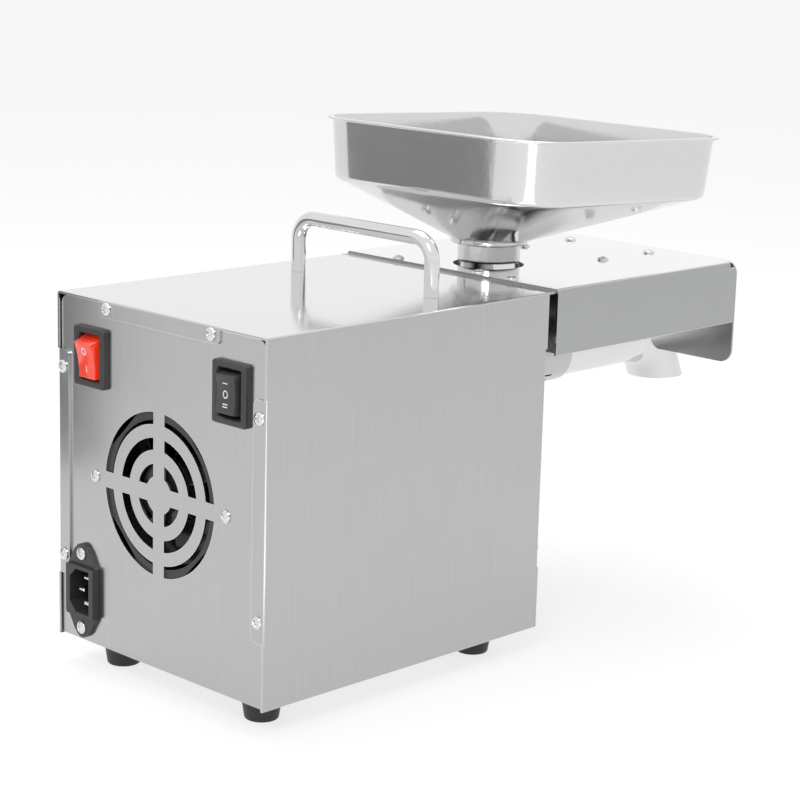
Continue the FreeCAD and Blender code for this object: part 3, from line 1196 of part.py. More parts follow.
os.makedirs("parts", exist_ok=True)
for name, shape in parts.items():
    shape.translate(to_origin)
    shape.exportStep("parts/" + name + ".step")
print("moved by", to_origin, "box", box)
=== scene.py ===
"""Looks of a table-top screw oil press, built round its packed construction model.

The construction model gives every sheet, shaft and wheel its place. This script gives each
of them its finish, and adds the pieces whose fine form shows: the hopper, the carry handle,
the cross-recessed screws, and the two rocker switches with their marks. All lengths are in
metres unless a name says otherwise.
"""
import json
import logging
import math
from collections.abc import Sequence
from dataclasses import dataclass, field
from enum import Enum

import bmesh
import bpy
from mathutils import Matrix, Vector


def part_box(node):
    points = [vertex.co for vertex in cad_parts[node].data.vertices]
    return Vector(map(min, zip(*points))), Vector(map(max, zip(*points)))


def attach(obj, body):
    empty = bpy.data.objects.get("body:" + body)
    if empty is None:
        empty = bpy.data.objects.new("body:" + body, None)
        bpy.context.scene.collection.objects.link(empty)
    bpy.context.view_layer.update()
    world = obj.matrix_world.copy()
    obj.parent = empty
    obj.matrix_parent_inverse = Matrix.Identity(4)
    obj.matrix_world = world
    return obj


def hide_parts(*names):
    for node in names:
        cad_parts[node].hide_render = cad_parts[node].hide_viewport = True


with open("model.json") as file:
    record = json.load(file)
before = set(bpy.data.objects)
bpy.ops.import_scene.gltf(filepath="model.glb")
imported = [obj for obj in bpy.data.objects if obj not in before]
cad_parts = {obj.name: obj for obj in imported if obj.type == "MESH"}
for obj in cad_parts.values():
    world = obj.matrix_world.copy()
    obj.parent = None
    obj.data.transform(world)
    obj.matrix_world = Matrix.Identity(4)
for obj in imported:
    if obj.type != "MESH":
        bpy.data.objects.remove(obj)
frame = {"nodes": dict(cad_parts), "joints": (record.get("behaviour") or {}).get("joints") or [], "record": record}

log = logging.getLogger("oil_press")

MM = 0.001
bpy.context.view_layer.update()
X_AXIS = Vector((1, 0, 0))
Y_AXIS = Vector((0, 1, 0))
Z_AXIS = Vector((0, 0, 1))

Colour = tuple[float, float, float]
Point = tuple[float, float, float]
Ring = list[Vector]


# ---- meshes -------------------------------------------------------------------------------
def finish_mesh(name: str, mesh: bpy.types.Mesh, sharp_deg: float = 35.0) -> bpy.types.Object:
    """Turns a mesh into a smooth-shaded object with crisp edges where faces turn sharply.

    Args:
        name: Name of the new object.
        mesh: The mesh to show.
        sharp_deg: Angle between faces, in degrees, from which an edge stays crisp.

    Returns:
        The new object, linked to the scene.
    """
    mesh.validate()
    mesh.shade_smooth()
    mesh.set_sharp_from_angle(angle=math.radians(sharp_deg))
    obj = bpy.data.objects.new(name, mesh)
    bpy.context.scene.collection.objects.link(obj)
    return obj


def skin(name: str, rings: Sequence[Ring], looped: bool = False,
         sharp_deg: float = 35.0) -> bpy.types.Object:
    """Lays quads between rings that have the same number of points.

    Args:
        name: Name of the new object.
        rings: Closed rings of points, in order along the surface.
        looped: Whether the last ring joins the first, instead of flat faces closing both.
        sharp_deg: Angle from which an edge stays crisp.

    Returns:
        The new object.
    """
    bm = bmesh.new()
    rows = [[bm.verts.new(p) for p in ring] for ring in rings]
    count = len(rows[0])
    pairs = list(zip(rows, rows[1:])) + ([(rows[-1], rows[0])] if looped else [])
    for low, high in pairs:
        for i in range(count):
            j = (i + 1) % count
            bm.faces.new((low[i], low[j], high[j], high[i]))
    if not looped:
        bm.faces.new(list(reversed(rows[0])))
        bm.faces.new(rows[-1])
    bmesh.ops.recalc_face_normals(bm, faces=bm.faces)
    mesh = bpy.data.meshes.new(name)
    bm.to_mesh(mesh)
    bm.free()
    return finish_mesh(name, mesh, sharp_deg)


def bevelled(obj: bpy.types.Object, width: float, segments: int,
             angle_deg: float) -> bpy.types.Object:
    """Rounds the crisp edges of an object and keeps its flat faces flat.

    Args:
        obj: Object to round.
        width: Width of the rounding.
        segments: Number of facets across it.
        angle_deg: Angle from which an edge is rounded.

    Returns:
        The same object, with its mesh replaced by the rounded one.
    """
    bevel = obj.modifiers.new("rounding", "BEVEL")
    bevel.width = width
    bevel.segments = segments
    bevel.limit_method = "ANGLE"
    bevel.angle_limit = math.radians(angle_deg)
    weighted = obj.modifiers.new("flat faces", "WEIGHTED_NORMAL")
    weighted.keep_sharp = True
    return applied(obj)


def applied(obj: bpy.types.Object) -> bpy.types.Object:
    """Replaces an object's mesh by what its modifiers make of it.

    Args:
        obj: Object with modifiers.

    Returns:
        The same object, with no modifiers left.
    """
    bpy.context.view_layer.update()
    evaluated = obj.evaluated_get(bpy.context.evaluated_depsgraph_get())
    mesh = bpy.data.meshes.new_from_object(evaluated)
    obj.modifiers.clear()
    obj.data = mesh
    return obj


def carved(obj: bpy.types.Object, cutter: bpy.types.Object) -> bpy.types.Object:
    """Cuts one object with another and removes the cutter.

    Args:
        obj: Object to cut.
        cutter: Closed object that takes material away.

    Returns:
        The cut object.
    """
    cut = obj.modifiers.new("cut", "BOOLEAN")
    cut.operation = "DIFFERENCE"
    cut.object = cutter
    cut.solver = "EXACT"
    applied(obj)
    bpy.data.objects.remove(cutter)
    return obj


def joined(name: str, objects: Sequence[bpy.types.Object]) -> bpy.types.Object:
    """Joins objects into one.

    Args:
        name: Name of the result.
        objects: Objects to join, which are removed.

    Returns:
        The joined object.
    """
    bm = bmesh.new()
    for obj in objects:
        part = obj.data.copy()
        part.transform(obj.matrix_world)
        bm.from_mesh(part)
        bpy.data.meshes.remove(part)
    mesh = bpy.data.meshes.new(name)
    bm.to_mesh(mesh)
    bm.free()
    for obj in objects:
        bpy.data.objects.remove(obj)
    return finish_mesh(name, mesh)


def circle(centre: Vector, u: Vector, v: Vector, radius: float, count: int) -> Ring:
    """Points of a circle in the plane of two unit vectors.

    Args:
        centre: Centre of the circle.
        u: First direction in its plane.
        v: Second direction in its plane.
        radius: Radius of the circle.
        count: Number of points.

    Returns:
        The points, in order from u towards v.
    """
    turns = [2 * math.pi * i / count for i in range(count)]
    return [centre + u * (radius * math.cos(t)) + v * (radius * math.sin(t)) for t in turns]


def sweep(path: Sequence[Vector], radius: float, side: Vector, count: int) -> list[Ring]:
    """Rings of a round rod whose centre line stays in one plane.

    Args:
        path: Points of the centre line.
        radius: Radius of the rod.
        side: Unit vector square to the plane of the centre line.
        count: Points in each ring.

    Returns:
        One ring for each point of the path.
    """
    rings = []
    for i, point in enumerate(path):
        before = path[max(i - 1, 0)]
        after = path[min(i + 1, len(path) - 1)]
        along = (after - before).normalized()
        rings.append(circle(point, side, along.cross(side), radius, count))
    return rings


def rounded_rectangle(half_u: float, half_v: float, corner: float, steps: int,
                      side_steps: int = 1) -> list[tuple[float, float]]:
    """Outline of a rectangle with round corners, from the middle of its +u side.

    Args:
        half_u: Half the width.
        half_v: Half the height.
        corner: Radius of the corners.
        steps: Facets in each corner.
        side_steps: Stretches that each half side is divided into.

    Returns:
        Points as (u, v), anticlockwise.
    """
    points: list[tuple[float, float]] = []
    signs = ((1, 1), (-1, 1), (-1, -1), (1, -1))
    for quarter, (su, sv) in enumerate(signs):
        centre = (su * (half_u - corner), sv * (half_v - corner))
        arc = []
        for i in range(steps + 1):
            turn = math.pi / 2 * (quarter + i / steps)
            arc.append((centre[0] + corner * math.cos(turn), centre[1] + corner * math.sin(turn)))
        if points:
            points += between(points[-1], arc[0], 2 * side_steps)
        points += arc
    points += between(points[-1], points[0], 2 * side_steps)
    return points


def between(a: tuple[float, float], b: tuple[float, float],
            parts: int) -> list[tuple[float, float]]:
    """Points that divide a stretch into equal parts, without its ends.

    Args:
        a: Start of the stretch.
        b: End of the stretch.
        parts: Number of parts.

    Returns:
        The points between the ends.
    """
    return [(a[0] + (b[0] - a[0]) * i / parts, a[1] + (b[1] - a[1]) * i / parts)
            for i in range(1, parts)]


def plate_x(name: str, outline: Sequence[tuple[float, float]], x0: float,
            x1: float) -> bpy.types.Object:
    """Plate with an outline in Y and Z and its faces square to X.

    Args:
        name: Name of the plate.
        outline: Points as (y, z).
        x0: Place of its first face.
        x1: Place of its second face.

    Returns:
        The plate.
    """
    return skin(name, [[Vector((x, y, z)) for y, z in outline] for x in (x0, x1)])


def flat_face(name: str, corners: Sequence[Sequence[float]]) -> bpy.types.Object:
    """Single flat face.

    Args:
        name: Name of the face.
        corners: Its corners, in order.

    Returns:
        The face.
    """
    bm = bmesh.new()
    bm.faces.new([bm.verts.new(corner) for corner in corners])
    mesh = bpy.data.meshes.new(name)
    bm.to_mesh(mesh)
    bm.free()
    return finish_mesh(name, mesh)


# ---- shader node groups -------------------------------------------------------------------
def add_node(tree: bpy.types.NodeTree, kind: str, operation: str = "",
             **inputs: float | tuple[float, ...]) -> bpy.types.Node:
    """Adds a shader node and sets it up.

    Args:
        tree: Tree that it goes into.
        kind: Its type, without the leading ShaderNode.
        operation: What a math node does.
        **inputs: Values of its inputs by name, with _ for a space.

    Returns:
        The node.
    """
    made = tree.nodes.new("ShaderNode" + kind)
    if operation:
        made.operation = operation
    for label, value in inputs.items():
        made.inputs[label.replace("_", " ")].default_value = value
    return made


def wire(tree: bpy.types.NodeTree,
         *pairs: tuple[bpy.types.NodeSocket, bpy.types.NodeSocket]) -> None:
    """Joins each pair of sockets, from an output to an input."""
    for start, end in pairs:
        tree.links.new(start, end)


class Kit:
    """Shader node groups that several finishes share, each built once."""

    def __init__(self) -> None:
        """Builds every group."""
        self.grain = self._polishing_grain()
        self.marks = self._handling_marks()
        self.edge = self._edge_light()
        self.mould = self._moulded_skin()
        self.dust = self._settled_dust()

    @staticmethod
    def _group(name: str, output: str, placed: bool = True, **values: float) -> tuple[
            bpy.types.NodeTree, bpy.types.NodeOutputs, bpy.types.NodeInputs]:
        """Makes an empty group that puts out one number.

        Args:
            name: Name of the group.
            output: Name of the number that comes out.
            placed: Whether a texture vector goes in.
            **values: Default of each number that goes in.

        Returns:
            The group, what its input node gives, and what its output node takes.
        """
        tree = bpy.data.node_groups.new(name, "ShaderNodeTree")
        sockets = tree.interface
        if placed:
            sockets.new_socket("Vector", in_out="INPUT", socket_type="NodeSocketVector")
        for label, value in values.items():
            made = sockets.new_socket(label, in_out="INPUT", socket_type="NodeSocketFloat")
            made.default_value = value
        sockets.new_socket(output, in_out="OUTPUT", socket_type="NodeSocketFloat")
        start = tree.nodes.new("NodeGroupInput")
        end = tree.nodes.new("NodeGroupOutput")
        return tree, start.outputs, end.inputs

    def _polishing_grain(self) -> bpy.types.NodeTree:
        """Fine parallel scratches; the vector comes in already stretched along them."""
        tree, start, end = self._group("polishing_grain", "Line", Scale=900.0)
        fine = add_node(tree, "TexNoise", Detail=4.0, Roughness=0.6)
        level = add_node(tree, "MapRange", From_Min=0.3, From_Max=0.7, To_Min=-0.5, To_Max=0.5)
        wire(tree,
             (start["Vector"], fine.inputs["Vector"]),
             (start["Scale"], fine.inputs["Scale"]),
             (fine.outputs["Fac"], level.inputs["Value"]),
             (level.outputs["Result"], end["Line"]))
        return tree

    def _handling_marks(self) -> bpy.types.NodeTree:
        """Broad cloudy smears with finer streaks in them, as wiping leaves on metal."""
        tree, start, end = self._group("handling_marks", "Value", Scale=14.0, Low=0.1, High=0.3)
        cloud = add_node(tree, "TexNoise", Detail=6.0, Roughness=0.55, Distortion=0.6)
        level = add_node(tree, "MapRange", From_Min=0.32, From_Max=0.72)
        level.interpolation_type = "SMOOTHSTEP"
        wire(tree,
             (start["Vector"], cloud.inputs["Vector"]),
             (start["Scale"], cloud.inputs["Scale"]),
             (cloud.outputs["Fac"], level.inputs["Value"]),
             (start["Low"], level.inputs["To Min"]),
             (start["High"], level.inputs["To Max"]),
             (level.outputs["Result"], end["Value"]))
        return tree

    def _edge_light(self) -> bpy.types.NodeTree:
        """Mask along edges, where a painted highlight brightens the colour as if rounded edges caught the light.
        """
        tree, start, end = self._group("edge_light", "Mask", placed=False, Radius=0.0008,
                                       Strength=1.0)
        bevel = add_node(tree, "Bevel")
        bevel.samples = 6
        geometry = add_node(tree, "NewGeometry")
        dot = add_node(tree, "VectorMath", "DOT_PRODUCT")
        level = add_node(tree, "MapRange", From_Min=0.995, From_Max=0.80)
        scaled = add_node(tree, "Math", "MULTIPLY")
        wire(tree,
             (start["Radius"], bevel.inputs["Radius"]),
             (bevel.outputs["Normal"], dot.inputs[0]),
             (geometry.outputs["Normal"], dot.inputs[1]),
             (dot.outputs["Value"], level.inputs["Value"]),
             (level.outputs["Result"], scaled.inputs[0]),
             (start["Strength"], scaled.inputs[1]),
             (scaled.outputs["Value"], end["Mask"]))
        return tree

    def _moulded_skin(self) -> bpy.types.NodeTree:
        """Spark-eroded texture of a moulding tool, as a height."""
        tree, start, end = self._group("moulded_skin", "Height", Scale=1500.0)
        cells = add_node(tree, "TexVoronoi")
        cells.feature = "SMOOTH_F1"
        grit = add_node(tree, "TexNoise", Detail=3.0)
        total = add_node(tree, "Math", "ADD")
        for texture in (cells, grit):
            wire(tree,
                 (start["Vector"], texture.inputs["Vector"]),
                 (start["Scale"], texture.inputs["Scale"]))
        wire(tree,
             (cells.outputs["Distance"], total.inputs[0]),
             (grit.outputs["Fac"], total.inputs[1]),
             (total.outputs["Value"], end["Height"]))
        return tree

    def _settled_dust(self) -> bpy.types.NodeTree:
        """Pale dust on faces that look up, thicker where noise says so."""
        tree, start, end = self._group("settled_dust", "Mask", Strength=0.3)
        geometry = add_node(tree, "NewGeometry")
        split = add_node(tree, "SeparateXYZ")
        upward = add_node(tree, "MapRange", From_Min=0.1, From_Max=1.0)
        specks = add_node(tree, "TexNoise", Scale=420.0, Detail=5.0)
        speckled = add_node(tree, "Math", "MULTIPLY")
        scaled = add_node(tree, "Math", "MULTIPLY")
        wire(tree,
             (geometry.outputs["Normal"], split.inputs["Vector"]),
             (split.outputs["Z"], upward.inputs["Value"]),
             (start["Vector"], specks.inputs["Vector"]),
             (upward.outputs["Result"], speckled.inputs[0]),
             (specks.outputs["Fac"], speckled.inputs[1]),
             (speckled.outputs["Value"], scaled.inputs[0]),
             (start["Strength"], scaled.inputs[1]),
             (scaled.outputs["Value"], end["Mask"]))
        return tree


# ---- finishes -----------------------------------------------------------------------------
class Grain(Enum):
    """Direction in which a metal was polished, as a stretch of its texture space."""

    ALONG_X = (0.015, 1.0, 1.0)
    ALONG_Y = (1.0, 0.015, 1.0)
    ALONG_Z = (1.0, 1.0, 0.015)
    TURNED = (1.0, 0.05, 0.05)
    BEAD_BLASTED = (1.0, 1.0, 1.0)


class Shader:
    """A material with a Principled BSDF, and short ways to wire it."""

    def __init__(self, name: str) -> None:
        """Starts the material and its object-space coordinates.

        Args:
            name: Name of the material.
        """
        self.material = bpy.data.materials.new(name)
        self.material.use_nodes = True
        self.tree = self.material.node_tree
        self.bsdf = self.tree.nodes["Principled BSDF"]
        self.place = self.node("TexCoord").outputs["Object"]

    def set(self, **values: float | tuple[float, ...]) -> None:
        """Sets sockets of the Principled BSDF by name, with _ for a space."""
        for label, value in values.items():
            self.bsdf.inputs[label.replace("_", " ")].default_value = value

    def feed(self, label: str, source: bpy.types.NodeSocket) -> None:
        """Links a socket to an input of the Principled BSDF."""
        self.link(source, self.bsdf.inputs[label])

    def node(self, kind: str, operation: str = "",
             **inputs: float | tuple[float, ...]) -> bpy.types.Node:
        """Adds a node as add_node does."""
        return add_node(self.tree, kind, operation, **inputs)

    def group(self, tree: bpy.types.NodeTree, **inputs: float) -> bpy.types.Node:
        """Places a node group and sets its inputs by name."""
        made = self.node("Group")
        made.node_tree = tree
        for label, value in inputs.items():
            made.inputs[label].default_value = value
        if "Vector" in made.inputs:
            self.link(self.place, made.inputs["Vector"])
        return made

    def link(self, start: bpy.types.NodeSocket, end: bpy.types.NodeSocket) -> None:
        """Joins two sockets."""
        self.tree.links.new(start, end)

    def mix(self, first: Colour | bpy.types.NodeSocket, second: Colour | bpy.types.NodeSocket,
            mask: bpy.types.NodeSocket) -> bpy.types.NodeSocket:
        """Blends two colours.

        Args:
            first: Colour where the mask is 0, or the socket that gives it.
            second: Colour where the mask is 1, or the socket that gives it.
            mask: The mask.

        Returns:
            The blended colour.
        """
        made = self.node("Mix")
        made.data_type = "RGBA"
        for label, tone in (("A", first), ("B", second)):
            if isinstance(tone, tuple):
                made.inputs[label].default_value = (*tone, 1.0)
            else:
                self.link(tone, made.inputs[label])
        self.link(mask, made.inputs["Factor"])
        return made.outputs["Result"]

    def cloudy(self, kit: Kit, scale: float, low: float, high: float) -> bpy.types.NodeSocket:
        """Returns a value that drifts between two levels with the handling marks."""
        return self.group(kit.marks, Scale=scale, Low=low, High=high).outputs["Value"]

    def upward(self, start: float, full: float) -> bpy.types.NodeSocket:
        """Returns a mask of the faces that look up, from its start to its full level."""
        geometry = self.node("NewGeometry")
        split = self.node("SeparateXYZ")
        level = self.node("MapRange", From_Min=start, From_Max=full)
        self.link(geometry.outputs["Normal"], split.inputs["Vector"])
        self.link(split.outputs["Z"], level.inputs["Value"])
        return level.outputs["Result"]

    def bump(self, height: bpy.types.NodeSocket, distance: float) -> None:
        """Feeds a height to the shader's normal."""
        made = self.node("Bump", Strength=1.0, Distance=distance)
        self.link(height, made.inputs["Height"])
        self.feed("Normal", made.outputs["Normal"])


@dataclass(frozen=True)
class SteelFinish:
    """Polished, brushed or plated metal."""

    slot: str
    colour: Colour
    roughness: tuple[float, float]
    grain: Grain = Grain.ALONG_X
    grain_scale: float = 1600.0
    grain_tone: float = 0.06
    grain_depth: float = 0.000004
    line_shades: tuple[float, float] = (0.5, 1.5)
    marks_scale: float = 16.0
    # painted highlight: lighter colour along the edges
    edge_highlight_colour: Colour = (0.92, 0.92, 0.92)
    edge_radius: float = 0.0006
    edge_strength: float = 0.7

    def build(self, kit: Kit) -> bpy.types.Material:
        """Makes the material.

        Args:
            kit: The shared node groups.

        Returns:
            The material.
        """
        shader = Shader(self.slot + "_finish")
        shader.set(Metallic=1.0)
        stretch = shader.node("VectorMath", "MULTIPLY")
        stretch.inputs[1].default_value = self.grain.value
        shader.link(shader.place, stretch.inputs[0])
        grain = shader.group(kit.grain, Scale=self.grain_scale)
        shader.link(stretch.outputs["Vector"], grain.inputs["Vector"])
        line = grain.outputs["Line"]
        shader.feed("Base Color", self._tone(shader, kit, line))
        shader.feed("Roughness", self._gloss(shader, kit))
        shader.bump(line, self.grain_depth)
        return shader.material

    def _tone(self, shader: Shader, kit: Kit,
              line: bpy.types.NodeSocket) -> bpy.types.NodeSocket:
        """Returns the metal's colour: its own tone, the grain's lines, and a painted highlight along its edges."""
        edge = shader.group(kit.edge, Radius=self.edge_radius, Strength=self.edge_strength)
        tone = shader.node("Math", "MULTIPLY_ADD")
        tone.inputs[1].default_value = self.grain_tone
        tone.inputs[2].default_value = 0.5
        shader.link(line, tone.inputs[0])
        dark, light = (tuple(min(1.0, c * shade) for c in self.colour)
                       for shade in self.line_shades)
        metal = shader.mix(dark, light, tone.outputs["Value"])
        # painted highlight along the edges, from the edge mask
        return shader.mix(metal, self.edge_highlight_colour, edge.outputs["Mask"])

    def _gloss(self, shader: Shader, kit: Kit) -> bpy.types.NodeSocket:
        """Returns a roughness that varies with the handling marks."""
        return shader.cloudy(kit, self.marks_scale, *self.roughness)


@dataclass(frozen=True)
class TwoFaceSteel(SteelFinish):
    """Sheet that is satin on its upright faces and glossier on top, where a painted highlight makes its colour
    brighter.
    """

    # painted highlight: faces that look up get a brighter colour, standing in for the bright surround that they
    # mirror
    top_painted_highlight_colour: Colour = (0.74, 0.74, 0.745)
    top_roughness: float = 0.09

    upright_to_level: tuple[float, float] = (0.55, 0.98)

    def _tone(self, shader: Shader, kit: Kit,
              line: bpy.types.NodeSocket) -> bpy.types.NodeSocket:
        """Returns the sheet's colour, with a painted highlight that makes it brighter where it looks up."""
        side = super()._tone(shader, kit, line)
        return shader.mix(side, self.top_painted_highlight_colour, shader.upward(*self.upright_to_level))

    def _gloss(self, shader: Shader, kit: Kit) -> bpy.types.NodeSocket:
        """Returns a roughness that is lower on top than on the sides."""
        blend = shader.node("Mix")
        blend.data_type = "FLOAT"
        blend.inputs["B"].default_value = self.top_roughness
        shader.link(shader.upward(*self.upright_to_level), blend.inputs["Factor"])
        shader.link(super()._gloss(shader, kit), blend.inputs["A"])
        return blend.outputs["Result"]


@dataclass(frozen=True)
class MouldedFinish:
    """Moulded plastic, rubber or laminate."""

    slot: str
    colour: Colour
    roughness: tuple[float, float]
    skin_scale: float = 1800.0
    skin_depth: float = 0.00002
    specular: float = 0.5
    marks_scale: float = 60.0
    # painted highlight: lighter colour along the edges
    edge_highlight_colour: Colour = (0.10, 0.10, 0.105)
    edge_radius: float = 0.0005
    edge_strength: float = 0.35
    dust: float = 0.12
    dust_colour: Colour = (0.20, 0.19, 0.18)

    def build(self, kit: Kit) -> bpy.types.Material:
        """Makes the material.

        Args:
            kit: The shared node groups.

        Returns:
            The material.
        """
        shader = Shader(self.slot + "_finish")
        shader.set(Metallic=0.0, Specular_IOR_Level=self.specular)
        edge = shader.group(kit.edge, Radius=self.edge_radius, Strength=self.edge_strength)
        # painted highlight: a lighter colour along the edges, from the edge mask
        edge_highlighted = shader.mix(self.colour, self.edge_highlight_colour, edge.outputs["Mask"])
        dust = shader.group(kit.dust, Strength=self.dust)
        shader.feed("Base Color", shader.mix(edge_highlighted, self.dust_colour, dust.outputs["Mask"]))
        shader.feed("Roughness", shader.cloudy(kit, self.marks_scale, *self.roughness))
        mould = shader.group(kit.mould, Scale=self.skin_scale)
        shader.bump(mould.outputs["Height"], self.skin_depth)
        return shader.material


@dataclass(frozen=True)
class LitLensFinish:
    """Clear red plastic with a small lamp behind it."""

    slot: str
    colour: Colour
    glow: Colour
    glow_strength: float
    # painted highlight: lighter red along the edges
    edge_highlight_colour: Colour = (1.0, 0.30, 0.22)

    def build(self, kit: Kit) -> bpy.types.Material:
        """Makes the material.

        Args:
            kit: The shared node groups.

        Returns:
            The material.
        """
        shader = Shader(self.slot + "_finish")
        shader.set(Metallic=0.0, Coat_Weight=0.6, Coat_Roughness=0.06, Subsurface_Weight=0.25,
                   Subsurface_Radius=(0.004, 0.0008, 0.0005), Subsurface_Scale=1.0,
                   Emission_Strength=self.glow_strength)
        edge = shader.group(kit.edge, Radius=0.0009, Strength=0.55)
        # painted highlight: a lighter red along the edges, from the edge mask
        shader.feed("Base Color", shader.mix(self.colour, self.edge_highlight_colour, edge.outputs["Mask"]))
        glow = shader.mix((0.0, 0.0, 0.0), self.glow, shader.cloudy(kit, 120.0, 0.6, 1.0))
        shader.feed("Emission Color", glow)
        shader.feed("Roughness", shader.cloudy(kit, 80.0, 0.12, 0.22))
        return shader.material


FINISHES = (
    # the top colours of housing_steel and cover_steel are painted highlights on the faces that look up
    TwoFaceSteel("housing_steel", (0.47, 0.47, 0.475), (0.20, 0.27), Grain.ALONG_Z),
    SteelFinish("panel_steel", (0.475, 0.475, 0.475), (0.20, 0.27), Grain.ALONG_Z),
    TwoFaceSteel("cover_steel", (0.40, 0.405, 0.405), (0.18, 0.25), Grain.ALONG_X,
                 top_painted_highlight_colour=(0.86, 0.86, 0.86), top_roughness=0.12),
    SteelFinish("bracket_steel", (0.42, 0.42, 0.42), (0.24, 0.34), Grain.ALONG_Y),
    SteelFinish("hopper_steel", (0.70, 0.705, 0.705), (0.09, 0.15), Grain.BEAD_BLASTED,
                grain_scale=260.0, grain_tone=0.03, grain_depth=0.000012),
    SteelFinish("handle_chrome", (0.86, 0.86, 0.865), (0.04, 0.09), Grain.ALONG_Y,
                grain_tone=0.10, marks_scale=90.0, edge_strength=0.0),
    SteelFinish("screw_chrome", (0.80, 0.80, 0.81), (0.07, 0.14), Grain.BEAD_BLASTED,
                marks_scale=300.0, edge_radius=0.0002),
    SteelFinish("nut_steel", (0.56, 0.56, 0.57), (0.22, 0.35), Grain.BEAD_BLASTED),
    SteelFinish("barrel_steel", (0.50, 0.50, 0.505), (0.16, 0.24), Grain.TURNED),
    SteelFinish("tube_steel", (0.74, 0.74, 0.745), (0.10, 0.17), Grain.TURNED,
                grain_tone=0.04),
    SteelFinish("screw_steel", (0.42, 0.42, 0.43), (0.20, 0.32), Grain.TURNED),
    SteelFinish("gear_steel", (0.36, 0.36, 0.37), (0.25, 0.38), Grain.TURNED),
    SteelFinish("shaft_steel", (0.52, 0.52, 0.53), (0.15, 0.24), Grain.TURNED),
    SteelFinish("bearing_steel", (0.60, 0.60, 0.62), (0.12, 0.2), Grain.TURNED),
    SteelFinish("cast_alloy", (0.45, 0.46, 0.47), (0.42, 0.58), Grain.BEAD_BLASTED,
                grain_scale=500.0, grain_depth=0.00008),
    SteelFinish("pin_nickel", (0.78, 0.76, 0.72), (0.14, 0.22), Grain.ALONG_X),
    MouldedFinish("motor_paint", (0.03, 0.03, 0.032), (0.35, 0.5)),
    MouldedFinish("foot_rubber", (0.022, 0.022, 0.022), (0.42, 0.6), skin_scale=900.0,
                  skin_depth=0.00004, edge_strength=0.15, dust=0.3),
    MouldedFinish("black_plastic", (0.035, 0.035, 0.037), (0.34, 0.46)),
    MouldedFinish("rocker_black", (0.042, 0.042, 0.044), (0.30, 0.42), skin_depth=0.00001),
    MouldedFinish("inlet_plastic", (0.032, 0.032, 0.034), (0.32, 0.44)),
    MouldedFinish("fan_plastic", (0.020, 0.020, 0.021), (0.22, 0.36), skin_depth=0.00001),
    MouldedFinish("board_laminate", (0.02, 0.16, 0.06), (0.2, 0.32), skin_scale=400.0),
    LitLensFinish("red_plastic", (0.80, 0.045, 0.018), (0.9, 0.03, 0.005), 0.32),
)


@dataclass
class Workshop:
    """Hands out finishes and seats pieces on the construction model."""

    kit: Kit = field(default_factory=Kit)
    materials: dict[str, bpy.types.Material] = field(default_factory=dict)

    def __post_init__(self) -> None:
        """Builds every finish once."""
        for finish in FINISHES:
            self.materials[finish.slot] = finish.build(self.kit)
        self.materials["mark_white"] = self._mark_paint()

    def _mark_paint(self) -> bpy.types.Material:
        """White pad-printed paint of the switch marks."""
        shader = Shader("mark_white_finish")
        shader.set(Metallic=0.0)
        shader.feed("Base Color", shader.mix((0.86, 0.86, 0.85), (0.72, 0.71, 0.70),
                                             shader.cloudy(self.kit, 700.0, 0.0, 1.0)))
        shader.feed("Roughness", shader.cloudy(self.kit, 300.0, 0.35, 0.5))
        return shader.material

    def dress(self, obj: bpy.types.Object, finish: str) -> bpy.types.Object:
        """Gives an object one finish.

        Args:
            obj: Object to dress.
            finish: Name of the finish.

        Returns:
            The object.
        """
        obj.data.materials.clear()
        obj.data.materials.append(self.materials[finish])
        return obj

    def dress_nodes(self) -> None:
        """Gives every construction node the finish of its material slot."""
        for part in frame["record"]["subparts"]:
            self.dress(frame["nodes"][part["node"]], part["material_slot"])

    def seat(self, obj: bpy.types.Object, body: str, slot: str, finish: str | None = None,
             stands_for: Sequence[str] = ()) -> bpy.types.Object:
        """Dresses a new piece and fixes it to a body of the construction model.

        Args:
            obj: The new piece, in place.
            body: Name of the body that it moves with.
            slot: Material slot that its finish comes from.
            finish: Name of the finish, if it isn't the slot's own.
            stands_for: Construction nodes that it replaces.

        Returns:
            The piece.
        """
        self.dress(obj, finish or slot)
        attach(obj, body)
        if stands_for:
            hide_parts(*stands_for)
        log.info("seated %s on %s with %d faces", obj.name, body, len(obj.data.polygons))
        return obj


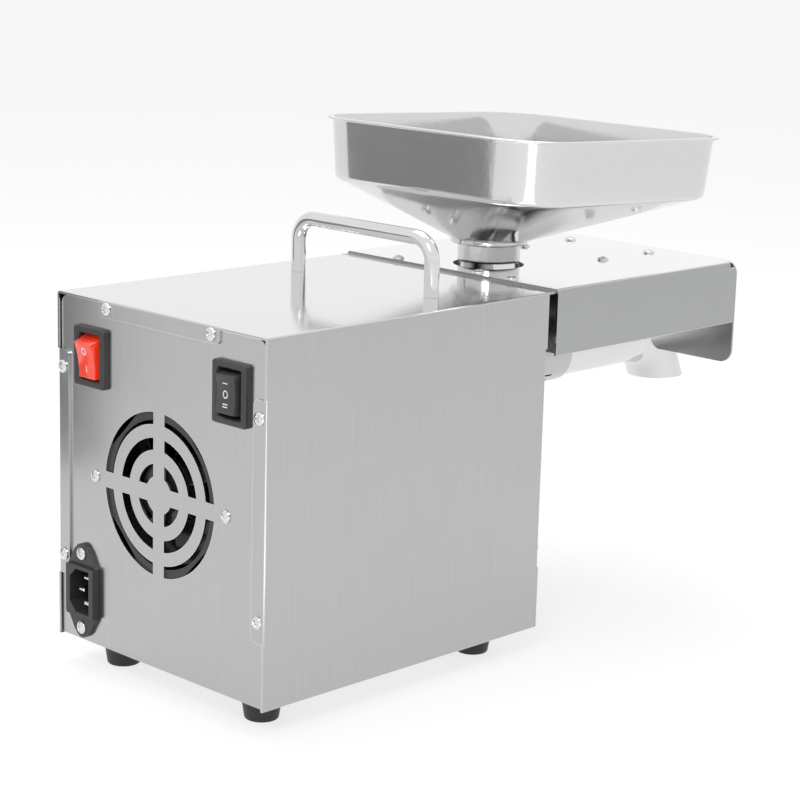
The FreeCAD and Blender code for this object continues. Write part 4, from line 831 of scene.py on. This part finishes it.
# ---- hopper -------------------------------------------------------------------------------
@dataclass
class Hopper:
    """Square feed tray with a rolled lip, a lop-sided funnel and a short neck."""

    lip: float = 3.0 * MM
    lip_roll: float = 0.75 * MM
    lip_inside: float = 0.3 * MM
    rim_slack: float = 0.2 * MM
    taper: float = 2.2 * MM
    wall_height: float = 34.4 * MM
    sheet: float = 1.0 * MM
    corner: float = 29.0 * MM
    crease: float = 2.4 * MM
    inner_crease: float = 2.0 * MM
    lean_deg: float = 2.3
    neck_top: float = 214.5 * MM
    neck_radius: float = 17.5 * MM
    neck_wall: float = 1.5 * MM
    foot_radius: float = 22.0 * MM
    corner_steps: int = 20
    side_steps: int = 6
    funnel_steps: int = 10
    crease_steps: int = 6
    wall_steps: int = 5
    lip_steps: int = 8

    def __post_init__(self) -> None:
        """Reads the sizes that the construction model settles."""
        low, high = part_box("hopper")
        throat_low, throat_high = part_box("feed_throat")
        neck_x = (throat_low.x + throat_high.x) / 2
        lean = math.radians(self.lean_deg)
        self.lean = Matrix.Rotation(lean, 4, "Y")
        self.pivot = Vector((neck_x, 0.0, self.neck_top))
        self.half = (high.y - low.y) / 2 - self.lip
        rise = high.z - self.neck_top - (self.half + self.lip) * math.sin(lean)
        self.rim = rise / math.cos(lean) - self.rim_slack
        self.tray_x = (low.x + high.x) / 2 - neck_x - self.rim * math.sin(lean)
        self.neck_foot = low.z - self.neck_top

    def _square(self, half: float, corner: float, height: float) -> Ring:
        """Ring of the tray at one height above the funnel's foot, before it leans."""
        outline = rounded_rectangle(half, half, corner, self.corner_steps, self.side_steps)
        return [Vector((self.tray_x + u, v, height)) for u, v in outline]

    def _round(self, radius: float, height: float, inset: float = 0.0) -> Ring:
        """Round ring, with its points shared out like those of the tray's floor."""
        half = self.half - self.taper - inset
        outline = rounded_rectangle(half, half, self.corner - inset, self.corner_steps,
                                    self.side_steps)
        turns = [math.atan2(v, u) for u, v in outline]
        return [Vector((radius * math.cos(t), radius * math.sin(t), height)) for t in turns]

    def _tray(self, inset: float, crease: float) -> list[Ring]:
        """Lays out one skin of the funnel and tray.

        Args:
            inset: How far the skin is inside the outer one.
            crease: Length over which the funnel bends into the walls.

        Returns:
            Its rings, from the foot to just under the rim.
        """
        corner = self.corner - inset
        foot = self._round(self.foot_radius - inset, 0.0, inset)
        edge = self._square(self.half - self.taper - inset, corner, self.rim - self.wall_height)
        top = self._square(self.half - inset, corner, self.rim)
        rings = [foot]
        for i in range(1, self.funnel_steps):
            rings.append([a.lerp(b, i / self.funnel_steps) for a, b in zip(foot, edge)])
        before = [b + (a - b).normalized() * crease for a, b in zip(foot, edge)]
        after = [b + (a - b).normalized() * crease for a, b in zip(top, edge)]
        for i in range(self.crease_steps + 1):
            t = i / self.crease_steps
            rings.append([a * (1 - t) ** 2 + b * (2 * t * (1 - t)) + c * t ** 2
                          for a, b, c in zip(before, edge, after)])
        bend_end = rings[-1]
        for i in range(1, self.wall_steps):
            rings.append([a.lerp(b, i / self.wall_steps) for a, b in zip(bend_end, top)])
        return rings

    def _lip(self) -> list[Ring]:
        """Rings of the rolled lip, from under its outside to the tray's mouth."""
        roll = self.lip_roll
        rings = [self._square(self.half, self.corner, self.rim - 2 * roll)]
        for i in range(self.lip_steps + 1):
            turn = -math.pi / 2 + math.pi * i / self.lip_steps
            out = self.lip - roll + roll * math.cos(turn)
            rings.append(self._square(self.half + out, self.corner + out,
                                      self.rim - roll + roll * math.sin(turn)))
        mouth = self.lip_inside - self.sheet
        rings.append(self._square(self.half + mouth, self.corner + mouth, self.rim))
        return rings

    def make(self, shop: Workshop) -> bpy.types.Object:
        """Builds the hopper and seats it on its body.

        Args:
            shop: Where finishes come from.

        Returns:
            The hopper.
        """
        outer = self._tray(0.0, self.crease)
        inner = self._tray(self.sheet, self.inner_crease)
        leaned = [[self.lean @ p for p in ring] for ring in outer + self._lip() + inner[::-1]]
        low, neck, foot = self.neck_foot, self.neck_radius, self.foot_radius
        bore = neck - self.neck_wall
        # radius and height, up the neck's outside to the funnel and then down its bore
        outside = ((neck - 0.4 * MM, low), (neck, low + 0.4 * MM), (neck, -2.6 * MM),
                   (neck + 0.4 * MM, -2.2 * MM), (foot - 0.8 * MM, -2.0 * MM),
                   (foot - 0.2 * MM, -1.2 * MM))
        inside = ((bore, 1.0 * MM), (bore, low + 0.3 * MM), (bore + 0.3 * MM, low))
        rings = [self._round(*ring) for ring in outside] + leaned
        rings += [self._round(*ring) for ring in inside]
        hopper = skin("feed_hopper", rings, looped=True, sharp_deg=50.0)
        hopper.data.transform(Matrix.Translation(self.pivot))
        return shop.seat(hopper, "hopper", "hopper_steel", stands_for=["hopper"])


# ---- carry handle -------------------------------------------------------------------------
@dataclass
class CarryHandle:
    """Bent chrome rod that stands on the housing's top, with a stud under each post."""

    rod: float = 4.0 * MM
    bend: float = 12.0 * MM
    clearance: float = 0.05 * MM
    stud: float = 2.9 * MM
    stud_break: float = 0.4 * MM
    stud_overlap: float = 1.0 * MM
    post_steps: int = 3
    bend_steps: int = 18
    rod_points: int = 48
    stud_points: int = 32

    def _path(self, x: float, y: float, sheet: float, top: float) -> list[Vector]:
        """Lays out the rod's centre line.

        Args:
            x: Place of the handle along the housing.
            y: Distance of each post from the middle.
            sheet: Height of the housing's top.
            top: Height of the bar.

        Returns:
            Points from the foot of one post to the foot of the other.
        """
        post = [sheet + self.clearance + i * (top - self.bend - sheet) / self.post_steps
                for i in range(self.post_steps)]
        path = [Vector((x, -y, z)) for z in post]
        for side in (-1, 1):
            for i in range(self.bend_steps + 1):
                t = math.pi / 2 * i / self.bend_steps
                turn = t if side < 0 else math.pi / 2 - t
                path.append(Vector((x, side * (y - self.bend + self.bend * math.cos(turn)),
                                    top - self.bend + self.bend * math.sin(turn))))
        return path + [Vector((x, y, z)) for z in reversed(post)]

    def make(self, shop: Workshop) -> bpy.types.Object:
        """Builds the handle and seats it on the machine.

        Args:
            shop: Where finishes come from.

        Returns:
            The handle.
        """
        low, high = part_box("carry_handle")
        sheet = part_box("shell")[1].z
        x, y = (low.x + high.x) / 2, high.y - self.rod
        path = self._path(x, y, sheet, high.z - self.rod)
        pieces = [skin("handle_bar", sweep(path, self.rod, X_AXIS, self.rod_points))]
        profile = ((self.stud - self.stud_break, low.z), (self.stud, low.z + self.stud_break),
                   (self.stud, sheet + self.stud_overlap))
        for side in (-1, 1):
            rings = [circle(Vector((x, side * y, z)), X_AXIS, Y_AXIS, radius, self.stud_points)
                     for radius, z in profile]
            pieces.append(skin("stud", rings))
        handle = joined("carry_handle_bar", pieces)
        return shop.seat(handle, "machine", "handle_chrome", stands_for=["carry_handle"])


# ---- screws -------------------------------------------------------------------------------
class Facing(Enum):
    """Side of the machine that a screw's head looks towards."""

    BACK = -X_AXIS
    NOSE = X_AXIS
    UP = Z_AXIS


@dataclass
class CrossScrews:
    """Pan-head screws with a cross recess, one group for each construction node."""

    head_radius: float = 3.4 * MM
    head_height: float = 1.9 * MM
    rim_share: float = 0.4
    shank_radius: float = 1.5 * MM
    shank_length: float = 4.0 * MM
    wing: float = 2.05 * MM
    slot: float = 0.62 * MM
    depth: float = 1.15 * MM
    dome_edge: float = 0.97
    dome_step: float = 0.118
    dome_steps: int = 9
    round_points: int = 48
    golden_deg: float = 137.5

    def _pattern(self) -> bpy.types.Object:
        """Builds one screw on the Z axis, with its head's seat at height 0."""
        rim = self.rim_share * self.head_height
        rise = self.head_height - rim
        dome = (self.head_radius ** 2 + rise ** 2) / (2 * rise)
        # radius and height, from the shank's end to the head's rim and over its dome
        profile = [(self.shank_radius - 0.3 * MM, -self.shank_length),
                   (self.shank_radius, 0.4 * MM - self.shank_length), (self.shank_radius, 0.0),
                   (self.head_radius - 0.12 * MM, 0.0), (self.head_radius, 0.14 * MM),
                   (self.head_radius, rim - 0.1 * MM)]
        for i in range(self.dome_steps):
            radius = self.head_radius * (self.dome_edge - i * self.dome_step)
            profile.append((radius, self.head_height - dome + math.sqrt(dome ** 2 - radius ** 2)))
        rings = [circle(Z_AXIS * height, X_AXIS, Y_AXIS, radius, self.round_points)
                 for radius, height in profile]
        screw = skin("screw", rings, sharp_deg=40.0)
        return carved(screw, self._recess())

    def _recess(self) -> bpy.types.Object:
        """Builds the tapered cross that is taken out of a head."""
        rings = []
        # share of the full cross and height, from the recess's floor to above the head
        for share, height in ((0.34, self.head_height - self.depth),
                              (0.78, self.head_height - 0.45 * self.depth),
                              (1.0, self.head_height + 0.2 * MM)):
            wing, slot = self.wing * share, self.slot * (0.55 + 0.45 * share)
            cross = []
            for i in range(4):
                turn = Matrix.Rotation(math.pi / 2 * i, 3, "Z")
                for u, v in ((slot, -slot), (wing, -slot * 0.8), (wing, slot * 0.8)):
                    cross.append(turn @ Vector((u, v, 0)) + Vector((0, 0, height)))
            rings.append(cross)
        return skin("recess", rings)

    def make(self, shop: Workshop) -> None:
        """Places a screw at every screw of the construction model.

        Args:
            shop: Where finishes come from.
        """
        pattern = self._pattern()
        log.info("one screw has %d faces", len(pattern.data.polygons))
        turn = 0
        groups = {"back_screws": Facing.BACK, "fan_screws": Facing.BACK,
                  "inlet_screws": Facing.BACK, "front_screws": Facing.NOSE,
                  "support_screws": Facing.NOSE, "cover_screws": Facing.UP}
        for node, facing in groups.items():
            copies = []
            for seat in self._seats(node, facing.value):
                spin = Matrix.Rotation(math.radians(self.golden_deg * turn), 4, "Z")
                stand = facing.value.to_track_quat("Z", "Y").to_matrix().to_4x4()
                copy = bpy.data.objects.new(f"{node}_{turn}", pattern.data)
                bpy.context.scene.collection.objects.link(copy)
                copy.matrix_world = Matrix.Translation(seat) @ stand @ spin
                copies.append(copy)
                turn += 1
            bpy.context.view_layer.update()
            group = joined(node + "_crossed", copies)
            shop.seat(group, "machine", "screw_chrome", stands_for=[node])
        bpy.data.objects.remove(pattern)

    def _seats(self, node: str, facing: Vector) -> list[Vector]:
        """Finds the centre of each head's seat in a node's loose solids.

        Args:
            node: Construction node that holds the screws.
            facing: Direction that their heads look towards.

        Returns:
            The centres, in a fixed order.
        """
        bm = bmesh.new()
        bm.from_mesh(frame["nodes"][node].data)
        bmesh.ops.remove_doubles(bm, verts=bm.verts, dist=0.001 * MM)
        left = set(bm.verts)
        seats = []
        while left:
            island, front = set(), [left.pop()]
            while front:
                vert = front.pop()
                island.add(vert)
                for edge in vert.link_edges:
                    other = edge.other_vert(vert)
                    if other in left:
                        left.discard(other)
                        front.append(other)
            points = [v.co for v in island]
            low = Vector(min(p[i] for p in points) for i in range(3))
            high = Vector(max(p[i] for p in points) for i in range(3))
            top = max(p.dot(facing) for p in points)
            middle = (low + high) / 2
            seats.append(middle + facing * (top - self.head_height - middle.dot(facing)))
        bm.free()
        return sorted(seats, key=lambda s: (round(s.x, 5), round(s.y, 5), round(s.z, 5)))


# ---- switches -----------------------------------------------------------------------------
class SwitchMark(Enum):
    """Marks that a rocker carries."""

    RING = "ring"
    UPRIGHT_BAR = "upright"
    LEVEL_BAR = "level"
    TWO_LEVEL_BARS = "two_level"


@dataclass
class RockerSwitch:
    """Snap-in rocker switch: a bezel with an open window, and the rocker in it."""

    name: str
    marks: dict[float, SwitchMark]
    rocker_slot: str
    settled_deg: float
    bezel_bevel: float = 0.8 * MM
    bezel_corner: float = 1.6 * MM
    bezel_break: float = 0.05 * MM
    bevel_steps: int = 4
    window_side: float = 3.9 * MM
    window_end: float = 3.7 * MM
    well_depth: float = 13.5 * MM
    body_half: tuple[float, float] = (10.3 * MM, 13.6 * MM)
    body_depth: float = 20.0 * MM
    blade_half: tuple[float, float] = (2.4 * MM, 0.4 * MM)
    blade_length: float = 7.5 * MM
    blade_spread: tuple[float, float] = (5.5 * MM, 8.0 * MM)
    rocker_half: tuple[float, float] = (7.8 * MM, 11.3 * MM)
    ridge_out: float = 8.6 * MM
    ridge_inset: float = 1.9 * MM
    hollow: float = 0.9 * MM
    hollow_steps: int = 12
    draft: float = 1.5 * MM
    print_depth: float = 0.10 * MM
    print_proud: float = 0.06 * MM

    def __post_init__(self) -> None:
        """Reads the switch's place."""
        low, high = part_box(f"{self.name}_switch_body")
        panel_low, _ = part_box("chassis")
        self.panel_x = panel_low.x
        self.face_x = low.x
        self.y = (low.y + high.y) / 2
        self.z = (low.z + high.z) / 2
        self.half_w = (high.y - low.y) / 2
        self.half_h = (high.z - low.z) / 2
        joint = next(j for j in frame["joints"] if j["name"] == f"{self.name}_switch_tilt")
        self.pivot = Vector(joint["pos_m"])

    def make(self, shop: Workshop) -> None:
        """Builds bezel, rocker and marks.

        Args:
            shop: Where finishes come from.
        """
        self._bezel(shop)
        self._rocker(shop)

    def _bezel(self, shop: Workshop) -> None:
        """Bezel with bevelled outside, sunk window and its body behind the panel."""
        front, back = self.face_x, self.panel_x + 0.02 * MM
        bevel, corner = self.bezel_bevel, self.bezel_corner
        outline = (self.half_w, self.half_h)
        window = (self.half_w - self.window_side, self.half_h - self.window_end)
        floor, deep = front + self.well_depth + 0.1 * MM, self.panel_x + self.body_depth
        # depth, half sizes, how far inside them, and corner radius, from the panel's face
        # over the bezel, down the window, and back along the body
        steps = [(back, outline, 0.0, corner), (front + bevel, outline, self.bezel_break, corner)]
        for i in range(1, self.bevel_steps + 1):
            t = math.pi / 2 * i / self.bevel_steps
            inset = bevel * (1 - math.cos(t)) + self.bezel_break
            steps.append((front + bevel - bevel * math.sin(t), outline, inset,
                          corner - inset * 0.5))
        steps += [(front, window, -0.9 * MM, 0.9 * MM),
                  (front + 0.35 * MM, window, -0.45 * MM, 0.7 * MM),
                  (front + 1.1 * MM, window, 0.0, 0.6 * MM),
                  (front + self.well_depth, window, 0.0, 0.6 * MM),
                  (floor, (0.0, 0.0), -0.5 * MM, 0.2 * MM),
                  (floor + 1.5 * MM, (0.0, 0.0), -0.5 * MM, 0.2 * MM),
                  (deep, self.body_half, 1.0 * MM, 0.5 * MM),
                  (deep - 1.0 * MM, self.body_half, 0.0, 0.8 * MM),
                  (back, self.body_half, 0.0, 0.8 * MM)]
        rings = []
        for x, (half_u, half_v), inset, radius in steps:
            ring = rounded_rectangle(half_u - inset, half_v - inset, radius, 5)
            rings.append([Vector((x, self.y + u, self.z + v)) for u, v in ring])
        name = f"{self.name}_bezel"
        bezel = joined(name, [skin(name, rings, looped=True), *self._blades(deep)])
        shop.seat(bezel, "machine", "black_plastic", stands_for=[f"{self.name}_switch_body"])

    def _blades(self, deep: float) -> list[bpy.types.Object]:
        """Returns the six terminal blades that leave the body at its depth."""
        blades = []
        across, up = self.blade_spread
        for dy in (-across, across):
            for dz in (-up, 0.0, up):
                outline = [(self.y + u + dy, self.z + v + dz)
                           for u, v in rounded_rectangle(*self.blade_half, 0.2 * MM, 2)]
                blades.append(plate_x("blade", outline, deep - 0.5 * MM,
                                      deep + self.blade_length))
        return blades

    @property
    def _ridge(self) -> float:
        """Height of the ridge at each end of the rocker, from the pivot."""
        return self.rocker_half[1] - self.ridge_inset

    def _face(self, z: float) -> float:
        """Depth of the rocker's hollow face at a height."""
        return -self.ridge_out + self.hollow * (1 - (z / self._ridge) ** 2)

    def _profile(self) -> list[tuple[float, float]]:
        """Outline of the rocker's side in its own X and Z, with the pivot at 0."""
        shoulder, edge = self.rocker_half[1] - 0.4 * MM, self._ridge
        points = [(0.6 * MM, -shoulder)]
        for i in range(self.hollow_steps + 1):
            z = -edge + 2 * edge * i / self.hollow_steps
            points.append((self._face(z), z))
        return points + [(0.6 * MM, shoulder), (6.0 * MM, 4.0 * MM), (6.0 * MM, -4.0 * MM)]

    def _rocker(self, shop: Workshop) -> None:
        """Rocker with drafted sides, and the marks printed on its hollow face."""
        rings = []
        for side in (-1, 1):
            ring = []
            for x, z in self._profile():
                out = max(0.0, min(1.0, -x / self.ridge_out))
                ring.append(Vector((x, side * (self.rocker_half[0] - self.draft * out), z)))
            rings.append(ring)
        cap = skin(f"{self.name}_rocker_cap", rings, sharp_deg=25.0)
        rocker = bevelled(cap, 0.35 * MM, segments=3, angle_deg=25.0)
        rocker.data.set_sharp_from_angle(angle=math.radians(30.0))
        tilt = Matrix.Rotation(math.radians(self.settled_deg), 4, "Y")
        place = Matrix.Translation(self.pivot) @ tilt
        rocker.data.transform(place)
        body = f"{self.name}_rocker"
        shop.seat(rocker, body, self.rocker_slot, stands_for=[body])
        for number, (height, mark) in enumerate(self.marks.items()):
            piece = self._mark(f"{self.name}_mark_{number}", height * MM, mark)
            piece.data.transform(place)
            shop.seat(piece, body, self.rocker_slot, finish="mark_white")

    def _mark(self, name: str, height: float, mark: SwitchMark) -> bpy.types.Object:
        """Raised print on the rocker's face.

        Args:
            name: Name of the mark.
            height: Its centre above the pivot.
            mark: Its form.

        Returns:
            The mark.
        """
        long, thin, gap = 1.75 * MM, 0.28 * MM, 0.65 * MM

        def bar(half_u: float, half_v: float, shift: float = 0.0) -> bpy.types.Object:
            """One stroke of the mark."""
            outline = rounded_rectangle(half_u, half_v, min(half_u, half_v) * 0.6, 3)
            middle = height + shift
            return skin(name, [[Vector((self._face(middle + v) - lift, u, middle + v))
                                for u, v in outline]
                               for lift in (self.print_proud, -self.print_depth)])

        if mark is SwitchMark.UPRIGHT_BAR:
            return bar(thin, long)
        if mark is SwitchMark.LEVEL_BAR:
            return bar(long, thin)
        if mark is SwitchMark.TWO_LEVEL_BARS:
            return joined(name, [bar(long, 0.30 * MM, gap), bar(long, 0.30 * MM, -gap)])
        rings = []
        inner, points = 1.20 * MM, 40
        for radius, lift in ((long, -self.print_depth), (inner, -self.print_depth),
                             (inner, self.print_proud), (long, self.print_proud)):
            ring = []
            for i in range(points):
                t = 2 * math.pi * i / points
                z = height + radius * 1.15 * math.sin(t)
                ring.append(Vector((self._face(z) + lift, radius * math.cos(t), z)))
            rings.append(ring)
        return skin(name, rings, looped=True)


# ---- studio -------------------------------------------------------------------------------
@dataclass
class Studio:
    """Pale floor, white surround, soft lamps, reflectors and the camera."""

    lens_mm: float = 101.43
    sensor_mm: float = 36.0
    clip_end: float = 60.0
    distance: float = 1.23511
    azimuth_deg: float = -45.76
    elevation_deg: float = 12.77
    roll_deg: float = 1.6
    ahead_of_back: float = 171.52 * MM
    above_base: float = 116.14 * MM
    world_light: float = 0.62
    floor_radius: float = 14.0
    floor_drop: float = 0.1 * MM
    floor_glow: float = 0.74

    def make(self) -> None:
        """Builds the stage and sets the scene's camera and view."""
        self._world()
        self._floor()
        self._lamps()
        self._cards()
        self._camera()
        bpy.context.scene.view_settings.view_transform = "Standard"

    @staticmethod
    def _seen(tree: bpy.types.NodeTree) -> bpy.types.NodeSocket:
        """Returns 1 for camera, glossy and transmission rays, and 0 for the others."""
        path = add_node(tree, "LightPath")
        seen = path.outputs["Is Camera Ray"]
        for ray in ("Is Glossy Ray", "Is Transmission Ray"):
            either = add_node(tree, "Math", "MAXIMUM")
            wire(tree, (seen, either.inputs[0]), (path.outputs[ray], either.inputs[1]))
            seen = either.outputs["Value"]
        return seen

    def _world(self) -> None:
        """White surround where it is seen or mirrored, and a softer level for its light."""
        world = bpy.data.worlds.new("studio")
        bpy.context.scene.world = world
        world.use_nodes = True
        tree = world.node_tree
        back = tree.nodes["Background"]
        back.inputs["Color"].default_value = (1.0, 1.0, 1.0, 1.0)
        level = add_node(tree, "MapRange", To_Min=self.world_light, To_Max=1.0)
        wire(tree,
             (self._seen(tree), level.inputs["Value"]),
             (level.outputs["Result"], back.inputs["Strength"]))

    def _floor(self) -> None:
        """Pale floor that stays white where it is seen and keeps the machine's shadow."""
        floor = flat_face("floor", circle(-Z_AXIS * self.floor_drop, X_AXIS, Y_AXIS,
                                          self.floor_radius, 64))
        shader = Shader("floor_paint")
        shader.set(Roughness=0.9, Specular_IOR_Level=0.0, Emission_Color=(1.0, 1.0, 1.0, 1.0))
        seen = self._seen(shader.tree)
        shader.feed("Base Color", shader.mix((0.80, 0.80, 0.80), (0.30, 0.30, 0.30), seen))
        lift = shader.node("Math", "MULTIPLY")
        lift.inputs[1].default_value = self.floor_glow
        shader.link(seen, lift.inputs[0])
        shader.feed("Emission Strength", lift.outputs["Value"])
        floor.data.materials.append(shader.material)

    @staticmethod
    def _lamp(name: str, place: Point, aim: Point, size: tuple[float, float],
              power: float) -> None:
        """Adds one soft rectangular lamp.

        Args:
            name: Name of the lamp.
            place: Where it hangs.
            aim: The point that it shines at.
            size: Its width and height.
            power: Its power in watts.
        """
        data = bpy.data.lights.new(name, "AREA")
        data.shape = "RECTANGLE"
        data.size, data.size_y = size
        data.energy = power
        lamp = bpy.data.objects.new(name, data)
        bpy.context.scene.collection.objects.link(lamp)
        lamp.location = place
        lamp.rotation_euler = (Vector(aim) - Vector(place)).to_track_quat("-Z", "Y").to_euler()

    def _lamps(self) -> None:
        """A broad lamp overhead, and a smaller key at the camera's left."""
        self._lamp("overhead", (0.1, 0.35, 1.5), (0.0, 0.0, 0.1), (1.3, 1.0), 11.0)
        self._lamp("key", (-1.2, -0.75, 1.25), (-0.05, 0.0, 0.12), (0.55, 0.55), 9.0)

    @staticmethod
    def _card(name: str, corners: Sequence[Point], strength: float) -> None:
        """Adds a reflector or flag that only polished surfaces mirror.

        Args:
            name: Name of the card.
            corners: Its corners, in order.
            strength: Its brightness.
        """
        card = flat_face(name, corners)
        card.visible_camera = False
        card.visible_diffuse = False
        card.visible_shadow = False
        card.visible_transmission = False
        shader = Shader(name + "_cloth")
        shader.set(Base_Color=(0.0, 0.0, 0.0, 1.0), Specular_IOR_Level=0.0,
                   Emission_Color=(1.0, 1.0, 1.0, 1.0), Emission_Strength=strength)
        card.data.materials.append(shader.material)

    def _cards(self) -> None:
        """A bright board in front of the near corner, and a dark flag for the hopper."""
        self._card("near_board", ((-0.36, -0.18, 0.001), (-0.18, -0.36, 0.001),
                                  (-0.80, -1.00, 0.001), (-1.00, -0.80, 0.001)), 2.4)
        self._card("tray_flag", ((-0.32, 0.20, 0.06), (-0.32, 0.42, 0.06),
                                 (-0.32, 0.42, 0.24), (-0.32, 0.20, 0.24)), 0.30)

    def _camera(self) -> None:
        """Places the camera by its angles round a point inside the machine."""
        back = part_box("shell")[0]
        target = Vector((back.x + self.ahead_of_back, 0.0, back.z + self.above_base))
        azimuth, elevation = math.radians(self.azimuth_deg), math.radians(self.elevation_deg)
        away = Vector((math.cos(elevation) * math.sin(azimuth),
                       -math.cos(elevation) * math.cos(azimuth), math.sin(elevation)))
        data = bpy.data.cameras.new("camera")
        data.lens = self.lens_mm
        data.sensor_width = self.sensor_mm
        data.clip_end = self.clip_end
        camera = bpy.data.objects.new("camera", data)
        bpy.context.scene.collection.objects.link(camera)
        aim = (-away).to_track_quat("-Z", "Y").to_matrix().to_4x4()
        roll = Matrix.Rotation(math.radians(self.roll_deg), 4, "Z")
        camera.matrix_world = Matrix.Translation(target + away * self.distance) @ aim @ roll
        bpy.context.scene.camera = camera
        log.info("camera at %s", tuple(round(v, 4) for v in camera.matrix_world.translation))


def main() -> None:
    """Builds the looks of the whole machine and its studio."""
    logging.basicConfig(level=logging.INFO, format="%(name)s: %(message)s")
    shop = Workshop()
    shop.dress_nodes()
    Studio().make()
    Hopper().make(shop)
    CarryHandle().make(shop)
    CrossScrews().make(shop)
    RockerSwitch("power", {4.9: SwitchMark.RING, -4.6: SwitchMark.UPRIGHT_BAR},
                 "red_plastic", -10.0).make(shop)
    RockerSwitch("direction", {5.4: SwitchMark.LEVEL_BAR, 0.0: SwitchMark.RING,
                               -5.4: SwitchMark.TWO_LEVEL_BARS}, "rocker_black", 0.0).make(shop)


if __name__ == "__main__":
    main()
